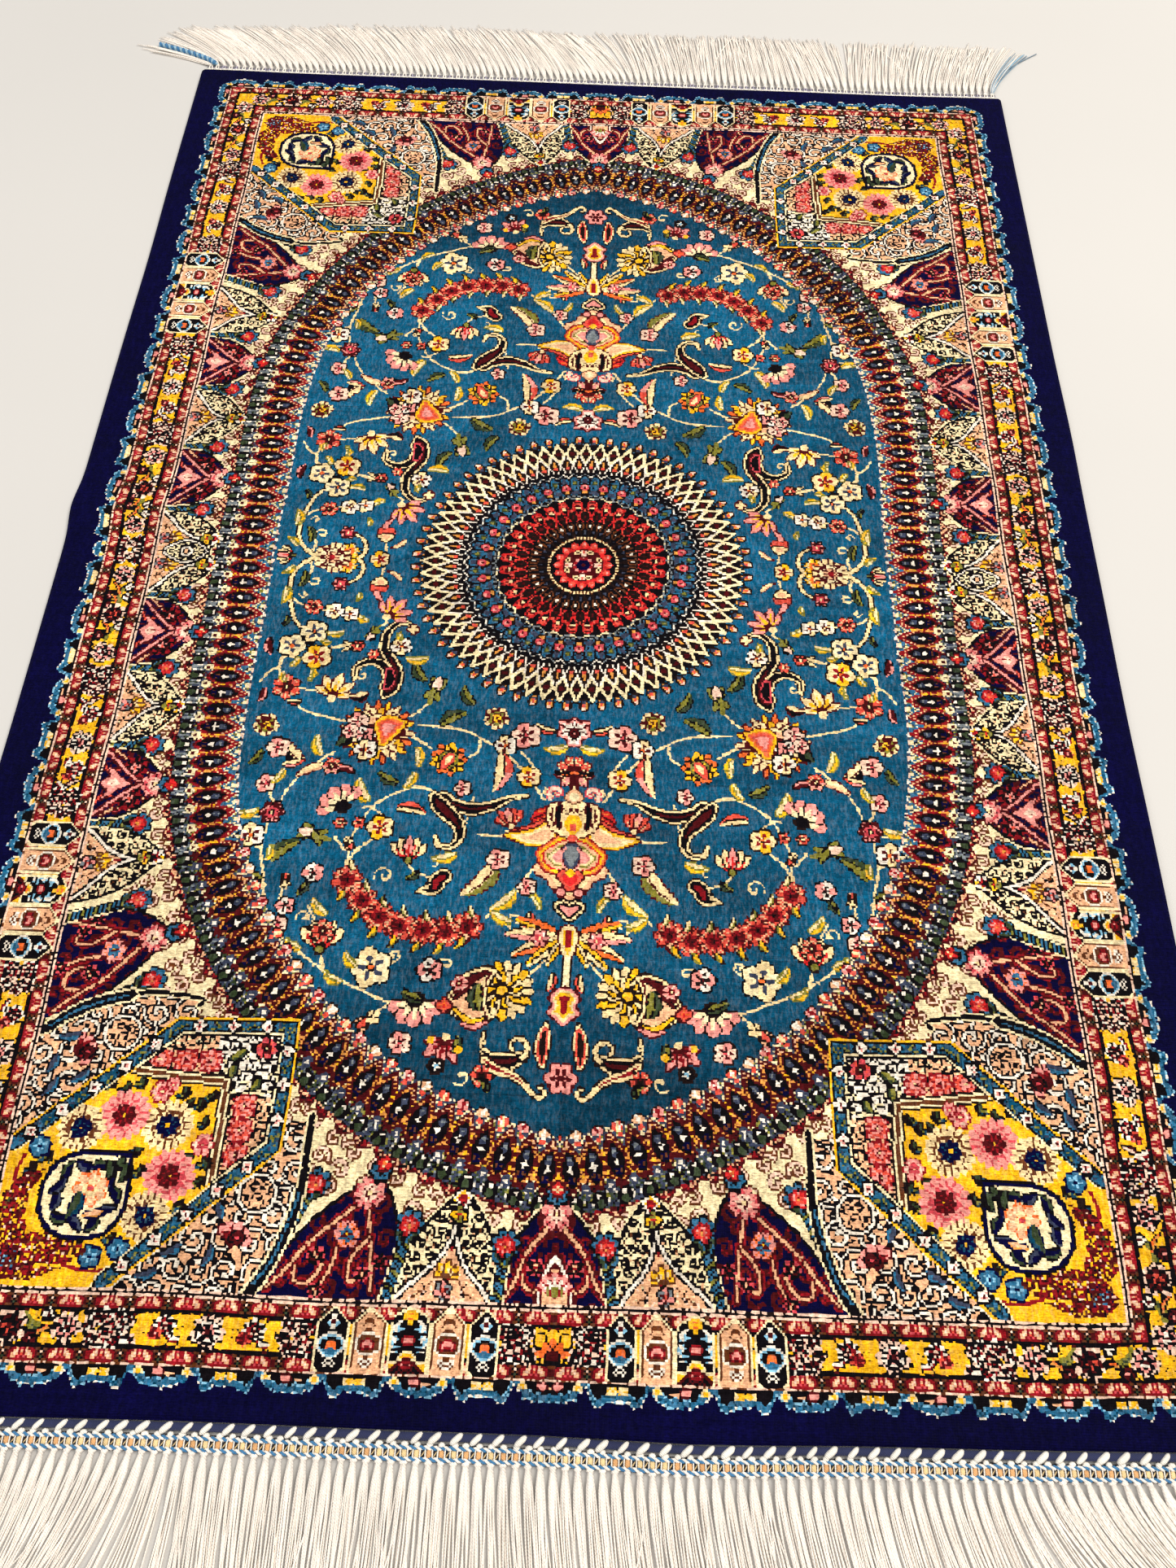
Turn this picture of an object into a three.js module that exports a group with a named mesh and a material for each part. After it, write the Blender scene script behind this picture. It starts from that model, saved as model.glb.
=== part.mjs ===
// A small knotted silk rug lying flat, with a fringe at each end.
// Millimetres, +Z up. The origin is on the floor under the middle of the cloth, X runs across
// the rug, and +Y runs along it to the far end. Everything rests on z = 0.
import * as THREE from 'three';

// Driving sizes
const CLOTH_WIDTH = 600;
const CLOTH_LENGTH = 889;
const CLOTH_THICKNESS = 3;
const CORNER_RADIUS = 3;
const PIECE_GAP = 0.3;

const ROLL_DEPTH = 3.4;
const ROLL_HEIGHT = 2.4;
const NEAR_HEADING_DEPTH = 7.8;
const FAR_HEADING_DEPTH = 6.4;
const HEADING_HEIGHT = 2;
const HEADING_INSET = 3;

const LOCKS_PER_END = 126;
const LOCK_STEPS = 5;
const LOCK_HEIGHT = 1.8;
const LOCK_TIP_HEIGHT = 1.2;
const LOCK_WIDTH = 3.9;
const LOCK_FILL = 0.84;
const LOCK_TIP_NARROWING = 0.25;
const LOCK_END_RAGGEDNESS = 0.04;

const OUTLINE_STEP = 12;
// The steepest slope of the smooth easing between two rows, beside a straight line between them.
const EASE_STEEPNESS = 1.5;

// Soft waves of the four edges: where each one is centred along the edge, how far it reaches
// along it, and how far it pushes the edge outward (inward where negative).
const LEFT_WAVES = [
  { at: 27, reach: 16, push: 2.4 },
  { at: -210, reach: 60, push: 0.9 },
  { at: 240, reach: 55, push: -0.7 },
];
const RIGHT_WAVES = [
  { at: 110, reach: 45, push: 0.8 },
  { at: -90, reach: 60, push: -0.8 },
  { at: -300, reach: 45, push: 0.9 },
];
const NEAR_WAVES = [
  { at: 62, reach: 45, push: 1.6 },
  { at: -150, reach: 60, push: -0.7 },
  { at: 270, reach: 60, push: -1.4 },
];
const FAR_WAVES = [
  { at: -290, reach: 45, push: 1.6 },
  { at: 60, reach: 70, push: -0.9 },
  { at: 215, reach: 70, push: -1.4 },
];

// How the locks lie: for a root at x, the sideways shift of the tip and how far out it reaches.
const NEAR_LAY = [
  { at: -300, side: -24, out: 57 },
  { at: -220, side: -15, out: 60 },
  { at: -171, side: -24, out: 57 },
  { at: -138, side: 1, out: 62 },
  { at: -60, side: -2, out: 62 },
  { at: 0, side: 8, out: 61 },
  { at: 120, side: 15, out: 60 },
  { at: 175, side: 21, out: 58 },
  { at: 205, side: 38, out: 50 },
  { at: 300, side: 46, out: 44 },
];
const FAR_LAY = [
  { at: -300, side: -52, out: 21 },
  { at: -292, side: -49, out: 38 },
  { at: -280, side: -45, out: 46 },
  { at: -220, side: -42, out: 51 },
  { at: -160, side: -32, out: 56 },
  { at: -65, side: -27, out: 59 },
  { at: 12, side: -33, out: 57 },
  { at: 32, side: -14, out: 60 },
  { at: 95, side: -4, out: 61 },
  { at: 182, side: -22, out: 58 },
  { at: 190, side: 10, out: 60 },
  { at: 262, side: 15, out: 61 },
  { at: 284, side: 21, out: 58 },
  { at: 300, side: 37, out: 46 },
];

// Sum of the soft waves at one place on an edge.
function edgePush(waves, place) {
  return waves.reduce((sum, wave) => {
    const distance = (place - wave.at) / wave.reach;
    return sum + wave.push * Math.exp(-distance * distance);
  }, 0);
}

// How the lock rooted at x lies, eased between the rows of the table. The crowding is how much
// the tips close up on each other along the end, as a share of the distance between the roots.
function readLay(rows, x) {
  const next = Math.max(1, rows.findIndex((row) => row.at >= x));
  const before = rows[next - 1];
  const after = rows[next];
  const share = THREE.MathUtils.smoothstep(x, before.at, after.at);
  return {
    side: THREE.MathUtils.lerp(before.side, after.side, share),
    out: THREE.MathUtils.lerp(before.out, after.out, share),
    crowding: EASE_STEEPNESS * (after.side - before.side) / (after.at - before.at),
  };
}

const nearEdgeY = (x) => -CLOTH_LENGTH / 2 - edgePush(NEAR_WAVES, x);
const farEdgeY = (x) => CLOTH_LENGTH / 2 + edgePush(FAR_WAVES, x);
const leftEdgeX = (y) => -CLOTH_WIDTH / 2 - edgePush(LEFT_WAVES, y);
const rightEdgeX = (y) => CLOTH_WIDTH / 2 + edgePush(RIGHT_WAVES, y);

// Evenly spaced places from one end to another, both ends included.
function places(from, to, step) {
  const count = Math.max(1, Math.round(Math.abs(to - from) / step));
  return Array.from({ length: count + 1 }, (_, i) => THREE.MathUtils.lerp(from, to, i / count));
}

// Collects vertices and faces of one closed body. A wall between two rings joins their points
// in order, and the rings start on the right-hand side of the way that the body runs.
class Body {
  constructor() {
    this.vertices = [];
    this.triangles = [];
  }

  point(x, y, z) {
    this.vertices.push(x, y, z);
    return this.vertices.length / 3 - 1;
  }

  face(...corners) {
    for (let i = 1; i + 1 < corners.length; i += 1) {
      this.triangles.push(corners[0], corners[i], corners[i + 1]);
    }
  }

  wall(ring, next) {
    ring.forEach((a, side) => {
      const b = ring[(side + 1) % ring.length];
      const c = next[(side + 1) % ring.length];
      this.face(a, next[side], c);
      this.face(a, c, b);
    });
  }

  geometry() {
    const geometry = new THREE.BufferGeometry();
    geometry.setAttribute('position', new THREE.Float32BufferAttribute(this.vertices, 3));
    geometry.setIndex(this.triangles);
    geometry.computeVertexNormals();
    return geometry;
  }
}

// The cloth's outline, anticlockwise, with its corners cut round.
function clothOutline() {
  const halfWidth = CLOTH_WIDTH / 2 - CORNER_RADIUS;
  const halfLength = CLOTH_LENGTH / 2 - CORNER_RADIUS;
  const near = places(-halfWidth, halfWidth, OUTLINE_STEP).map((x) => [x, nearEdgeY(x)]);
  const right = places(-halfLength, halfLength, OUTLINE_STEP).map((y) => [rightEdgeX(y), y]);
  const far = places(halfWidth, -halfWidth, OUTLINE_STEP).map((x) => [x, farEdgeY(x)]);
  const left = places(halfLength, -halfLength, OUTLINE_STEP).map((y) => [leftEdgeX(y), y]);
  return [...near, ...right, ...far, ...left].map(([x, y]) => new THREE.Vector2(x, y));
}

// A flat solid of an outline, standing on the floor.
function slab(outline, height) {
  return new THREE.ExtrudeGeometry(new THREE.Shape(outline), {
    depth: height,
    bevelEnabled: false,
  });
}

// The overcast roll beside the near edge: a low half-round bead along the end.
function overcastRoll() {
  const half = CLOTH_WIDTH / 2 - HEADING_INSET;
  const middle = PIECE_GAP + ROLL_DEPTH / 2;
  const section = [
    { across: -0.5, up: 0 },
    { across: -0.5, up: 0.45 },
    { across: -0.28, up: 0.9 },
    { across: 0, up: 1 },
    { across: 0.28, up: 0.9 },
    { across: 0.5, up: 0.45 },
    { across: 0.5, up: 0 },
  ];
  const body = new Body();
  const rings = places(-half, half, OUTLINE_STEP).map((x) =>
    section.map(({ across, up }) =>
      body.point(x, nearEdgeY(x) - middle + across * ROLL_DEPTH, up * ROLL_HEIGHT)));
  rings.slice(1).forEach((ring, index) => body.wall(rings[index], ring));
  body.face(...rings[0]);
  body.face(...rings[rings.length - 1].toReversed());
  return body.geometry();
}

// The middle line of a lock, from its root (t = 0) to its tip: straight out, then leaning over.
function lockMiddle(lay, along, t) {
  return { along: along + lay.side * t ** 1.35, out: lay.out * t ** 0.94 };
}

// One lock, a three-sided tapering strand, from its root ring to its tip on the floor.
function addLock(body, place, rootRing, along, rootOut, lay, width) {
  let ring = rootRing;
  for (let step = 1; step <= LOCK_STEPS; step += 1) {
    const t = (lay.length * step) / LOCK_STEPS;
    const middle = lockMiddle(lay, along, t);
    const ahead = lockMiddle(lay, along, t + 0.05);
    const behind = lockMiddle(lay, along, t - 0.05);
    const run = new THREE.Vector2(ahead.along - behind.along, ahead.out - behind.out).normalize();
    const half = (width(t) * (1 - LOCK_TIP_NARROWING * t)) / 2;
    const out = rootOut + middle.out;
    const height = THREE.MathUtils.lerp(LOCK_HEIGHT, LOCK_TIP_HEIGHT, t);
    const next = [
      place(middle.along - run.y * half, out + run.x * half, 0),
      place(middle.along, out, height),
      place(middle.along + run.y * half, out - run.x * half, 0),
    ];
    body.wall(ring, next);
    ring = next;
  }
  body.face(...ring.toReversed());
}

// The heading of one end with all its locks as one body. It is laid out along the end and out
// from it, as the near end lies. The far end is the same turned half round.
function fringe({ edgePushAt, outward, inner, depth, layAt }) {
  const body = new Body();
  const turn = -outward;
  const half = CLOTH_WIDTH / 2 - HEADING_INSET;
  const outer = inner + depth;
  const pitch = (2 * half) / LOCKS_PER_END;
  const edge = (along) => CLOTH_LENGTH / 2 + edgePushAt(turn * along);
  const place = (along, out, z) => body.point(turn * along, -turn * out, z);
  const station = (along) => ({
    innerLow: place(along, edge(along) + inner, 0),
    innerHigh: place(along, edge(along) + inner, HEADING_HEIGHT),
    outerHigh: place(along, edge(along) + outer, HEADING_HEIGHT),
  });
  const endStation = (along) => ({
    ...station(along),
    outerLow: place(along, edge(along) + outer, 0),
  });
  const joinTopAndInnerWall = (a, b) => {
    body.face(a.outerHigh, b.outerHigh, b.innerHigh, a.innerHigh);
    body.face(b.innerLow, a.innerLow, a.innerHigh, b.innerHigh);
  };

  const start = endStation(-half);
  body.face(start.innerLow, start.outerLow, start.outerHigh, start.innerHigh);
  let before = start;
  for (let index = 0; index < LOCKS_PER_END; index += 1) {
    const along = -half + (index + 0.5) * pitch;
    const { side, out, crowding } = layAt(turn * along);
    const length = 1 + LOCK_END_RAGGEDNESS * Math.sin(index * 2.4) * Math.cos(index * 0.7);
    const rootOut = edge(along) + outer;
    const here = station(along);
    const left = place(along - LOCK_WIDTH / 2, rootOut, 0);
    const ridge = place(along, rootOut, LOCK_HEIGHT);
    const right = place(along + LOCK_WIDTH / 2, rootOut, 0);

    joinTopAndInnerWall(before, here);
    body.face(before.innerLow, here.innerLow, left, before.outerLow);
    body.face(here.innerLow, right, left);
    if (before.ridge !== undefined) body.face(before.outerHigh, before.ridge, before.outerLow);
    body.face(before.outerHigh, before.outerLow, left, here.outerHigh);
    body.face(here.outerHigh, left, ridge);

    const slope = out / Math.hypot(side, out);
    const width = (t) => {
      const closing = 1 + Math.min(0, crowding) * t;
      const spacing = pitch * closing * THREE.MathUtils.lerp(1, slope, t);
      return Math.min(LOCK_WIDTH, LOCK_FILL * spacing);
    };
    const lay = { side: turn * side, out, length };
    addLock(body, place, [left, ridge, right], along, rootOut, lay, width);
    before = { ...here, ridge, outerLow: right };
  }
  const end = endStation(half);
  joinTopAndInnerWall(before, end);
  body.face(before.innerLow, end.innerLow, end.outerLow, before.outerLow);
  body.face(before.outerHigh, before.ridge, before.outerLow);
  body.face(before.outerHigh, before.outerLow, end.outerLow, end.outerHigh);
  body.face(end.outerLow, end.innerLow, end.innerHigh, end.outerHigh);
  return body.geometry();
}

function piece(name, geometry, color, roughness) {
  const material = new THREE.MeshStandardMaterial({ color, roughness, metalness: 0 });
  const mesh = new THREE.Mesh(geometry, material);
  mesh.name = name;
  return mesh;
}

const nearEnd = {
  edgePushAt: (x) => edgePush(NEAR_WAVES, x),
  outward: -1,
  inner: PIECE_GAP + ROLL_DEPTH + PIECE_GAP,
  depth: NEAR_HEADING_DEPTH,
  layAt: (x) => readLay(NEAR_LAY, x),
};
const farEnd = {
  edgePushAt: (x) => edgePush(FAR_WAVES, x),
  outward: 1,
  inner: PIECE_GAP,
  depth: FAR_HEADING_DEPTH,
  layAt: (x) => readLay(FAR_LAY, x),
};
const rug = new THREE.Group();
rug.add(
  piece('rug_cloth', slab(clothOutline(), CLOTH_THICKNESS), 0x8a3a2a, 0.55),
  piece('overcast_roll_near', overcastRoll(), 0x1c2140, 0.7),
  piece('fringe_near', fringe(nearEnd), 0xe8dcc4, 0.75),
  piece('fringe_far', fringe(farEnd), 0xe8dcc4, 0.75),
);

export default rug;
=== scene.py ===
import math

import bpy
import numpy as np
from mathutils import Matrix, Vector


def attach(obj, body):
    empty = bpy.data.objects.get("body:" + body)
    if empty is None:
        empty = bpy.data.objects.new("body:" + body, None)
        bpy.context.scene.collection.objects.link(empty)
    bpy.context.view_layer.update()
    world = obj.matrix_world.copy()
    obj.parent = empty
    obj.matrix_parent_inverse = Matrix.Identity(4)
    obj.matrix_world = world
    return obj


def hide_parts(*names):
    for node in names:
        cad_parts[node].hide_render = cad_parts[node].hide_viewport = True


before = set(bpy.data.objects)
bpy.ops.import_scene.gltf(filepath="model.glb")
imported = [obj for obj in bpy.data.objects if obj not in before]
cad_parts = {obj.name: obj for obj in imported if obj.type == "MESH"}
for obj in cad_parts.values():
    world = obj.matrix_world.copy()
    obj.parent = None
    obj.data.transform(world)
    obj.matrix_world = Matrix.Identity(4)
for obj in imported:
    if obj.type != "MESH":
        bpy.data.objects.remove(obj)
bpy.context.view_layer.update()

# A small knotted silk rug lying on a pale floor. The pile is a chart of knots, painted here as
# one quarter of the design and mirrored both ways, then built as rows of coloured knots.
# Chart sizes are in millimetres, and the built pieces are in metres.

MM = 0.001

# The rug's driving sizes, as in the frame's cloth.
CLOTH_WIDTH = 600.0
CLOTH_LENGTH = 889.0
PIECE_GAP = 0.3

# Knots of one quarter, counted from the middle outward, and their spacing.
QUARTER_COLUMNS = 301
QUARTER_ROWS = 445
KNOT_X = CLOTH_WIDTH / (2 * QUARTER_COLUMNS - 1)
KNOT_Y = CLOTH_LENGTH / (2 * QUARTER_ROWS - 1)

# A knotter's unevenness: how far off each knot reads its place in a motif, and how much of
# that an outline keeps.
KNOT_SLIP = 0.19
OUTLINE_SLIP = 0.7
# How closely lines and outlines are followed, and how far a motif reaches past its size.
LINE_STEP = 0.45
OUTLINE_STEP = 1.3
MOTIF_REACH = 1.6
CHART_SEED = 3

# The dyes, as sRGB.
(NAVY, BLACK, TEAL, STEEL, SLATE, SMOKE, WHITE, CREAM, PEACH, YELLOW, GOLD, ORANGE, RED, CORAL,
 CRIMSON, MAROON, PINK, ROSE, BROWN, UMBER, OLIVE, GREEN, SKY, BLUSH, IVORY) = range(25)
LEAVE = -1
DYES = {
    NAVY: (5, 4, 44),
    BLACK: (12, 8, 12),
    TEAL: (6, 76, 106),
    STEEL: (34, 92, 124),
    SLATE: (50, 56, 76),
    SMOKE: (110, 116, 118),
    WHITE: (234, 220, 200),
    CREAM: (238, 206, 148),
    PEACH: (228, 168, 124),
    YELLOW: (240, 176, 20),
    GOLD: (214, 140, 58),
    ORANGE: (230, 100, 38),
    RED: (196, 34, 34),
    CORAL: (212, 72, 54),
    CRIMSON: (132, 18, 26),
    MAROON: (70, 12, 16),
    PINK: (230, 140, 128),
    ROSE: (198, 64, 72),
    BROWN: (92, 46, 20),
    UMBER: (28, 15, 13),
    OLIVE: (120, 114, 38),
    GREEN: (46, 58, 34),
    SKY: (124, 176, 200),
    BLUSH: (236, 194, 168),
    IVORY: (238, 216, 166),
}


def inside_polygon(x, y, corners):
    """Whether each place lies inside a closed polygon."""
    inside = np.zeros(x.shape, bool)
    for (ax, ay), (bx, by) in zip(corners, corners[1:] + corners[:1]):
        if ay == by:
            continue
        crosses = (ay > y) != (by > y)
        inside ^= crosses & (x < (bx - ax) * (y - ay) / (by - ay) + ax)
    return inside


def edge_distance(x, y, corners, closed=True):
    """The distance of each place to the nearest side of a polygon or a line."""
    nearest = np.full(x.shape, 1e3)
    ends = corners[1:] + corners[:1] if closed else corners[1:]
    for (ax, ay), (bx, by) in zip(corners, ends):
        span = (bx - ax) ** 2 + (by - ay) ** 2
        t = np.clip(((x - ax) * (bx - ax) + (y - ay) * (by - ay)) / span, 0, 1)
        np.minimum(nearest, np.hypot(x - ax - t * (bx - ax), y - ay - t * (by - ay)), out=nearest)
    return nearest


class Chart:
    """One quarter of the design: the ink of each knot, x across and y along from the middle."""

    def __init__(self):
        self.x, self.y = np.meshgrid(np.arange(QUARTER_COLUMNS) * KNOT_X,
                                     np.arange(QUARTER_ROWS) * KNOT_Y)
        self.ink = np.full(self.x.shape, NAVY, np.int16)
        unsteady = np.random.default_rng(CHART_SEED)
        self.slip_x = unsteady.normal(0, KNOT_SLIP, self.x.shape)
        self.slip_y = unsteady.normal(0, KNOT_SLIP, self.x.shape)
        self.chance = unsteady.random(self.x.shape)

    def window(self, low_x, high_x, low_y, high_y):
        """The slices that hold a box, cut to the quarter."""
        columns = slice(max(0, int(low_x / KNOT_X)), max(0, int(high_x / KNOT_X) + 2))
        rows = slice(max(0, int(low_y / KNOT_Y)), max(0, int(high_y / KNOT_Y) + 2))
        return rows, columns

    def put(self, where, ink):
        """Lays ink over the whole quarter wherever it isn't LEAVE."""
        keep = where & (ink != LEAVE)
        self.ink[keep] = ink[keep] if isinstance(ink, np.ndarray) else ink

    def stamp(self, motif, x, y, size, turn=0.0, within=None, **style):
        """Paints a motif of a half length size, its own u axis turned from +x towards +y."""
        reach = size * MOTIF_REACH + 1
        part = self.window(x - reach, x + reach, y - reach, y + reach)
        across = self.x[part] - x + self.slip_x[part]
        along = self.y[part] - y + self.slip_y[part]
        cosine = math.cos(math.radians(turn))
        sine = math.sin(math.radians(turn))
        u = (across * cosine + along * sine) / size
        v = (along * cosine - across * sine) / size
        ink = motif(u, v, 1.0 / size, **style)
        keep = ink != LEAVE
        if within is not None:
            keep &= within[part]
        self.ink[part][keep] = ink[keep]

    def stroke(self, points, width, layers, within=None):
        """Paints a smooth line through points. The half width is one number, or several that it
        runs through from end to end. Layers are (extra half width, ink), widest first."""
        line = smooth(points, LINE_STEP)
        widths = np.atleast_1d(width)
        half = np.interp(np.linspace(0, 1, len(line)), np.linspace(0, 1, len(widths)), widths)
        reach = widths.max() + max(extra for extra, _ in layers) + 1
        low = line.min(axis=0) - reach
        high = line.max(axis=0) + reach
        part = self.window(low[0], high[0], low[1], high[1])
        x = self.x[part] + OUTLINE_SLIP * self.slip_x[part]
        y = self.y[part] + OUTLINE_SLIP * self.slip_y[part]
        depth = np.full(x.shape, 1e3)
        for (px, py), radius in zip(line, half):
            np.minimum(depth, np.hypot(x - px, y - py) - radius, out=depth)
        for extra, ink in layers:
            keep = depth < extra
            if within is not None:
                keep &= within[part]
            self.ink[part][keep] = ink

    def shape(self, corners, layers, within=None):
        """Fills a smooth closed outline. Layers are (depth inside it, ink), outermost first."""
        ring = smooth(list(corners) + [corners[0]], OUTLINE_STEP)
        low = ring.min(axis=0) - 3
        high = ring.max(axis=0) + 3
        part = self.window(low[0], high[0], low[1], high[1])
        x = self.x[part] + OUTLINE_SLIP * self.slip_x[part]
        y = self.y[part] + OUTLINE_SLIP * self.slip_y[part]
        outline = [tuple(point) for point in ring[:-1]]
        depth = edge_distance(x, y, outline)
        depth = np.where(inside_polygon(x, y, outline), depth, -depth)
        for level, ink in layers:
            keep = depth > level
            if within is not None:
                keep &= within[part]
            self.ink[part][keep] = ink

    def flecks(self, zone, inks, share):
        """Scatters single knots of a few inks over a share of a zone."""
        for number, ink in enumerate(inks):
            low = number * share / len(inks)
            self.put(zone & band(self.chance, low, low + share / len(inks)), ink)


def smooth(points, step):
    """Places about a step apart on a Catmull-Rom curve through the points."""
    points = np.array(points, float)
    ends = np.vstack([2 * points[0] - points[1], points, 2 * points[-1] - points[-2]])
    places = []
    for i in range(len(points) - 1):
        a, b, c, d = ends[i:i + 4]
        count = max(2, int(np.hypot(*(c - b)) / step))
        t = np.linspace(0, 1, count, endpoint=False)[:, None]
        places.append(0.5 * (2 * b + (c - a) * t + (2 * a - 5 * b + 4 * c - d) * t ** 2
                             + (3 * b - a - 3 * c + d) * t ** 3))
    places.append(points[-1:])
    return np.vstack(places)


def spiral(x, y, radius, start, turns):
    """Points of a curl that winds in to its middle at x, y. Angles are in degrees."""
    count = max(5, int(abs(turns) * 10))
    share = np.linspace(0, 1, count)
    angle = np.radians(start + 360 * turns * share)
    reach = radius * (1 - 0.85 * share)
    return list(zip(x + reach * np.cos(angle), y + reach * np.sin(angle)))


def both_sides(points):
    """A closed outline from its half at x >= 0, listed from top to bottom."""
    return points + [(-x, y) for x, y in points[::-1] if x > 0]


def blank(u):
    return np.full(u.shape, LEAVE, np.int16)


def band(value, low, high):
    return (value >= low) & (value < high)


# Motifs. Each takes its own coordinates, u along and v across, both 1 at its reach, and the
# size of one knot in them, and gives an ink for each knot or LEAVE.

def blade(u, v, turn, base, tip, width, fat=1.0):
    """How far outside a pointed petal each place lies. The petal runs from base to tip from
    the middle, turned in degrees, and is widest nearer its tip where fat is more than 1."""
    cosine = math.cos(math.radians(turn))
    sine = math.sin(math.radians(turn))
    share = (u * cosine + v * sine - base) / (tip - base)
    half = width * np.sin(math.pi * np.clip(share, 0, 1) ** fat)
    return np.where((share > 0) & (share < 1), np.abs(v * cosine - u * sine) - half, 9.0)


def petals_round(ink, u, v, knot, turns, base, tip, width, fills, edge, fat=1.5, streak=None):
    """Petals at several turns, one over the next, each with its own dark outline."""
    for number, turn in enumerate(turns):
        depth = blade(u, v, turn, base, tip, width, fat)
        ink[depth < 0.95 * knot] = edge
        ink[depth < 0] = fills[number % len(fills)]
        if streak is not None:
            middle = blade(u, v, turn, base, base + (tip - base) * 0.72, width * 0.4, 1.0)
            ink[middle < 0] = streak


def rose(u, v, knot, petals=5, fill=CREAM, inner=PINK, heart=YELLOW, edge=BLACK, other=None):
    """Round petals about a dark star with a bright heart. Every other petal may differ."""
    r = np.hypot(u, v)
    sector = 2 * math.pi / petals
    turned = np.arctan2(v, u) / sector + 0.5
    aside = turned % 1 * sector - sector / 2
    across = r * np.sin(aside)
    out = r * np.cos(aside)
    lobe = np.hypot((out - 0.57) / 0.43, across / min(0.43, 0.6 * math.tan(sector / 2)))
    ink = blank(u)
    ink[(r < 0.6) | ((lobe - 1) * 0.4 < 0.95 * knot)] = edge
    ink[lobe < 1] = fill
    if other is not None:
        ink[(lobe < 1) & (np.floor(turned) % 2 == 0)] = other
    ink[np.hypot((out - 0.42) / 0.24, across / 0.13) < 1] = inner
    ink[r < 0.2] = edge
    ink[r < max(0.13, 0.75 * knot)] = heart
    return ink


def ruffle(u, v, knot, outer=WHITE, middle=PINK, inner=WHITE, heart=MAROON, edge=BLACK, rays=11):
    """A full rose: three rings of short petals, dark between them, in a scalloped outline."""
    r = np.hypot(u, v)
    angle = np.arctan2(v, u) / (2 * math.pi)
    notch = 0.24 * (np.abs((angle * 5 + 0.2) % 1 - 0.5) * 2) ** 3
    ink = blank(u)
    ink[r < 1.04 - notch] = edge
    for low, high, ink_of, count, shift in ((0.68, 1.0, outer, rays, 0.0),
                                            (0.4, 0.64, middle, rays * 2 // 3, 0.5),
                                            (0.16, 0.38, inner, rays // 2, 0.2)):
        dash = np.abs((angle * count + shift) % 1 - 0.5) * 2
        ink[band(r, low, high - notch) & (dash > 0.34)] = ink_of
    ink[r < 0.15] = heart
    return ink


def carnation(u, v, knot, petals=7, fill=CORAL, inner=CRIMSON, light=PINK, edge=MAROON,
              heart=CREAM):
    """A ragged flower: toothed petals round a second, smaller ring."""
    r = np.hypot(u, v)
    angle = np.arctan2(v, u) * petals / (2 * math.pi)
    aside = np.abs((angle + 0.5) % 1 - 0.5) * 2
    tooth = np.abs((angle * 3 + 0.5) % 1 - 0.5) * 2
    rim = 0.98 - 0.26 * aside ** 2 - 0.12 * tooth
    ink = blank(u)
    ink[r < rim + 0.9 * knot] = edge
    ink[r < rim] = fill
    ink[(r < rim - 0.6 * knot) & (tooth < 0.3) & (r > 0.5)] = light
    ink[(r < rim) & (aside > 0.84) & (r > 0.36)] = edge
    inner_aside = np.abs((angle + 1.0) % 1 - 0.5) * 2
    ink[r < 0.52 - 0.12 * inner_aside] = inner
    ink[(r < 0.4) & (inner_aside > 0.8)] = edge
    ink[r < 0.2] = edge
    ink[r < max(0.11, 0.7 * knot)] = heart
    return ink


def daisy(u, v, knot, fill=CREAM, line=BROWN, ring=NAVY, heart=TEAL, rays=18):
    """Many thin petals round a big dark eye."""
    r = np.hypot(u, v)
    angle = np.arctan2(v, u)
    lobe = np.abs(np.cos(rays * angle / 2))
    rim = 0.86 + 0.14 * lobe
    eye = np.abs(np.cos(4 * angle))
    ink = blank(u)
    ink[r < rim] = fill
    ink[(r < rim) & (lobe < 0.4) & (r > 0.36)] = line
    ink[(r < 0.62) & (lobe > 0.9) & (r > 0.36)] = line
    ink[r < 0.37 + 0.08 * eye] = ring
    ink[(r < 0.32) & (eye < 0.55) & (r > 0.12)] = heart
    ink[r < 0.12] = ring
    ink[r < 0.07] = YELLOW
    return ink


def sunburst(u, v, knot, fill=CREAM, other=YELLOW, edge=UMBER, heart=YELLOW, petals=17):
    """Two rows of thin petals about a dark star."""
    ink = blank(u)
    turns = np.arange(petals) * 360 / petals
    petals_round(ink, u, v, knot, turns, 0.25, 1.0, 0.13, (fill, other, fill), edge, 1.5)
    petals_round(ink, u, v, knot, turns + 180 / petals, 0.2, 0.64, 0.1, (other, fill), edge, 1.2)
    r = np.hypot(u, v)
    ink[r < 0.26] = edge
    ink[r < 0.15] = heart
    return ink


def leaf(u, v, knot, fill=CREAM, shade=OLIVE, edge=UMBER, bend=0.25, width=0.34, saw=0.0):
    """A bent leaf along u, one side of it shaded and its edge toothed where saw is set."""
    v = v - bend * (1 - u * u)
    half = width * np.clip(1 - u * u, 0, 1) ** 0.75 * (1 - 0.25 * u)
    teeth = (np.abs(u + 0.15) / (3.0 * knot)) % 1
    half = half * (1 - saw * 1.6 * teeth) + saw * 0.3 * (half > 0)
    ink = blank(u)
    body = (np.abs(v) < half + 0.8 * knot) & (np.abs(u) < 1)
    ink[body] = edge
    fleshy = (np.abs(v) < half) & (np.abs(u) < 1)
    ink[fleshy] = fill
    ink[fleshy & (v > 0.2 * half)] = shade
    if saw:
        ink[fleshy & (np.abs(v) < 0.45 * knot) & (u < 0.7)] = edge
    return ink


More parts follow.
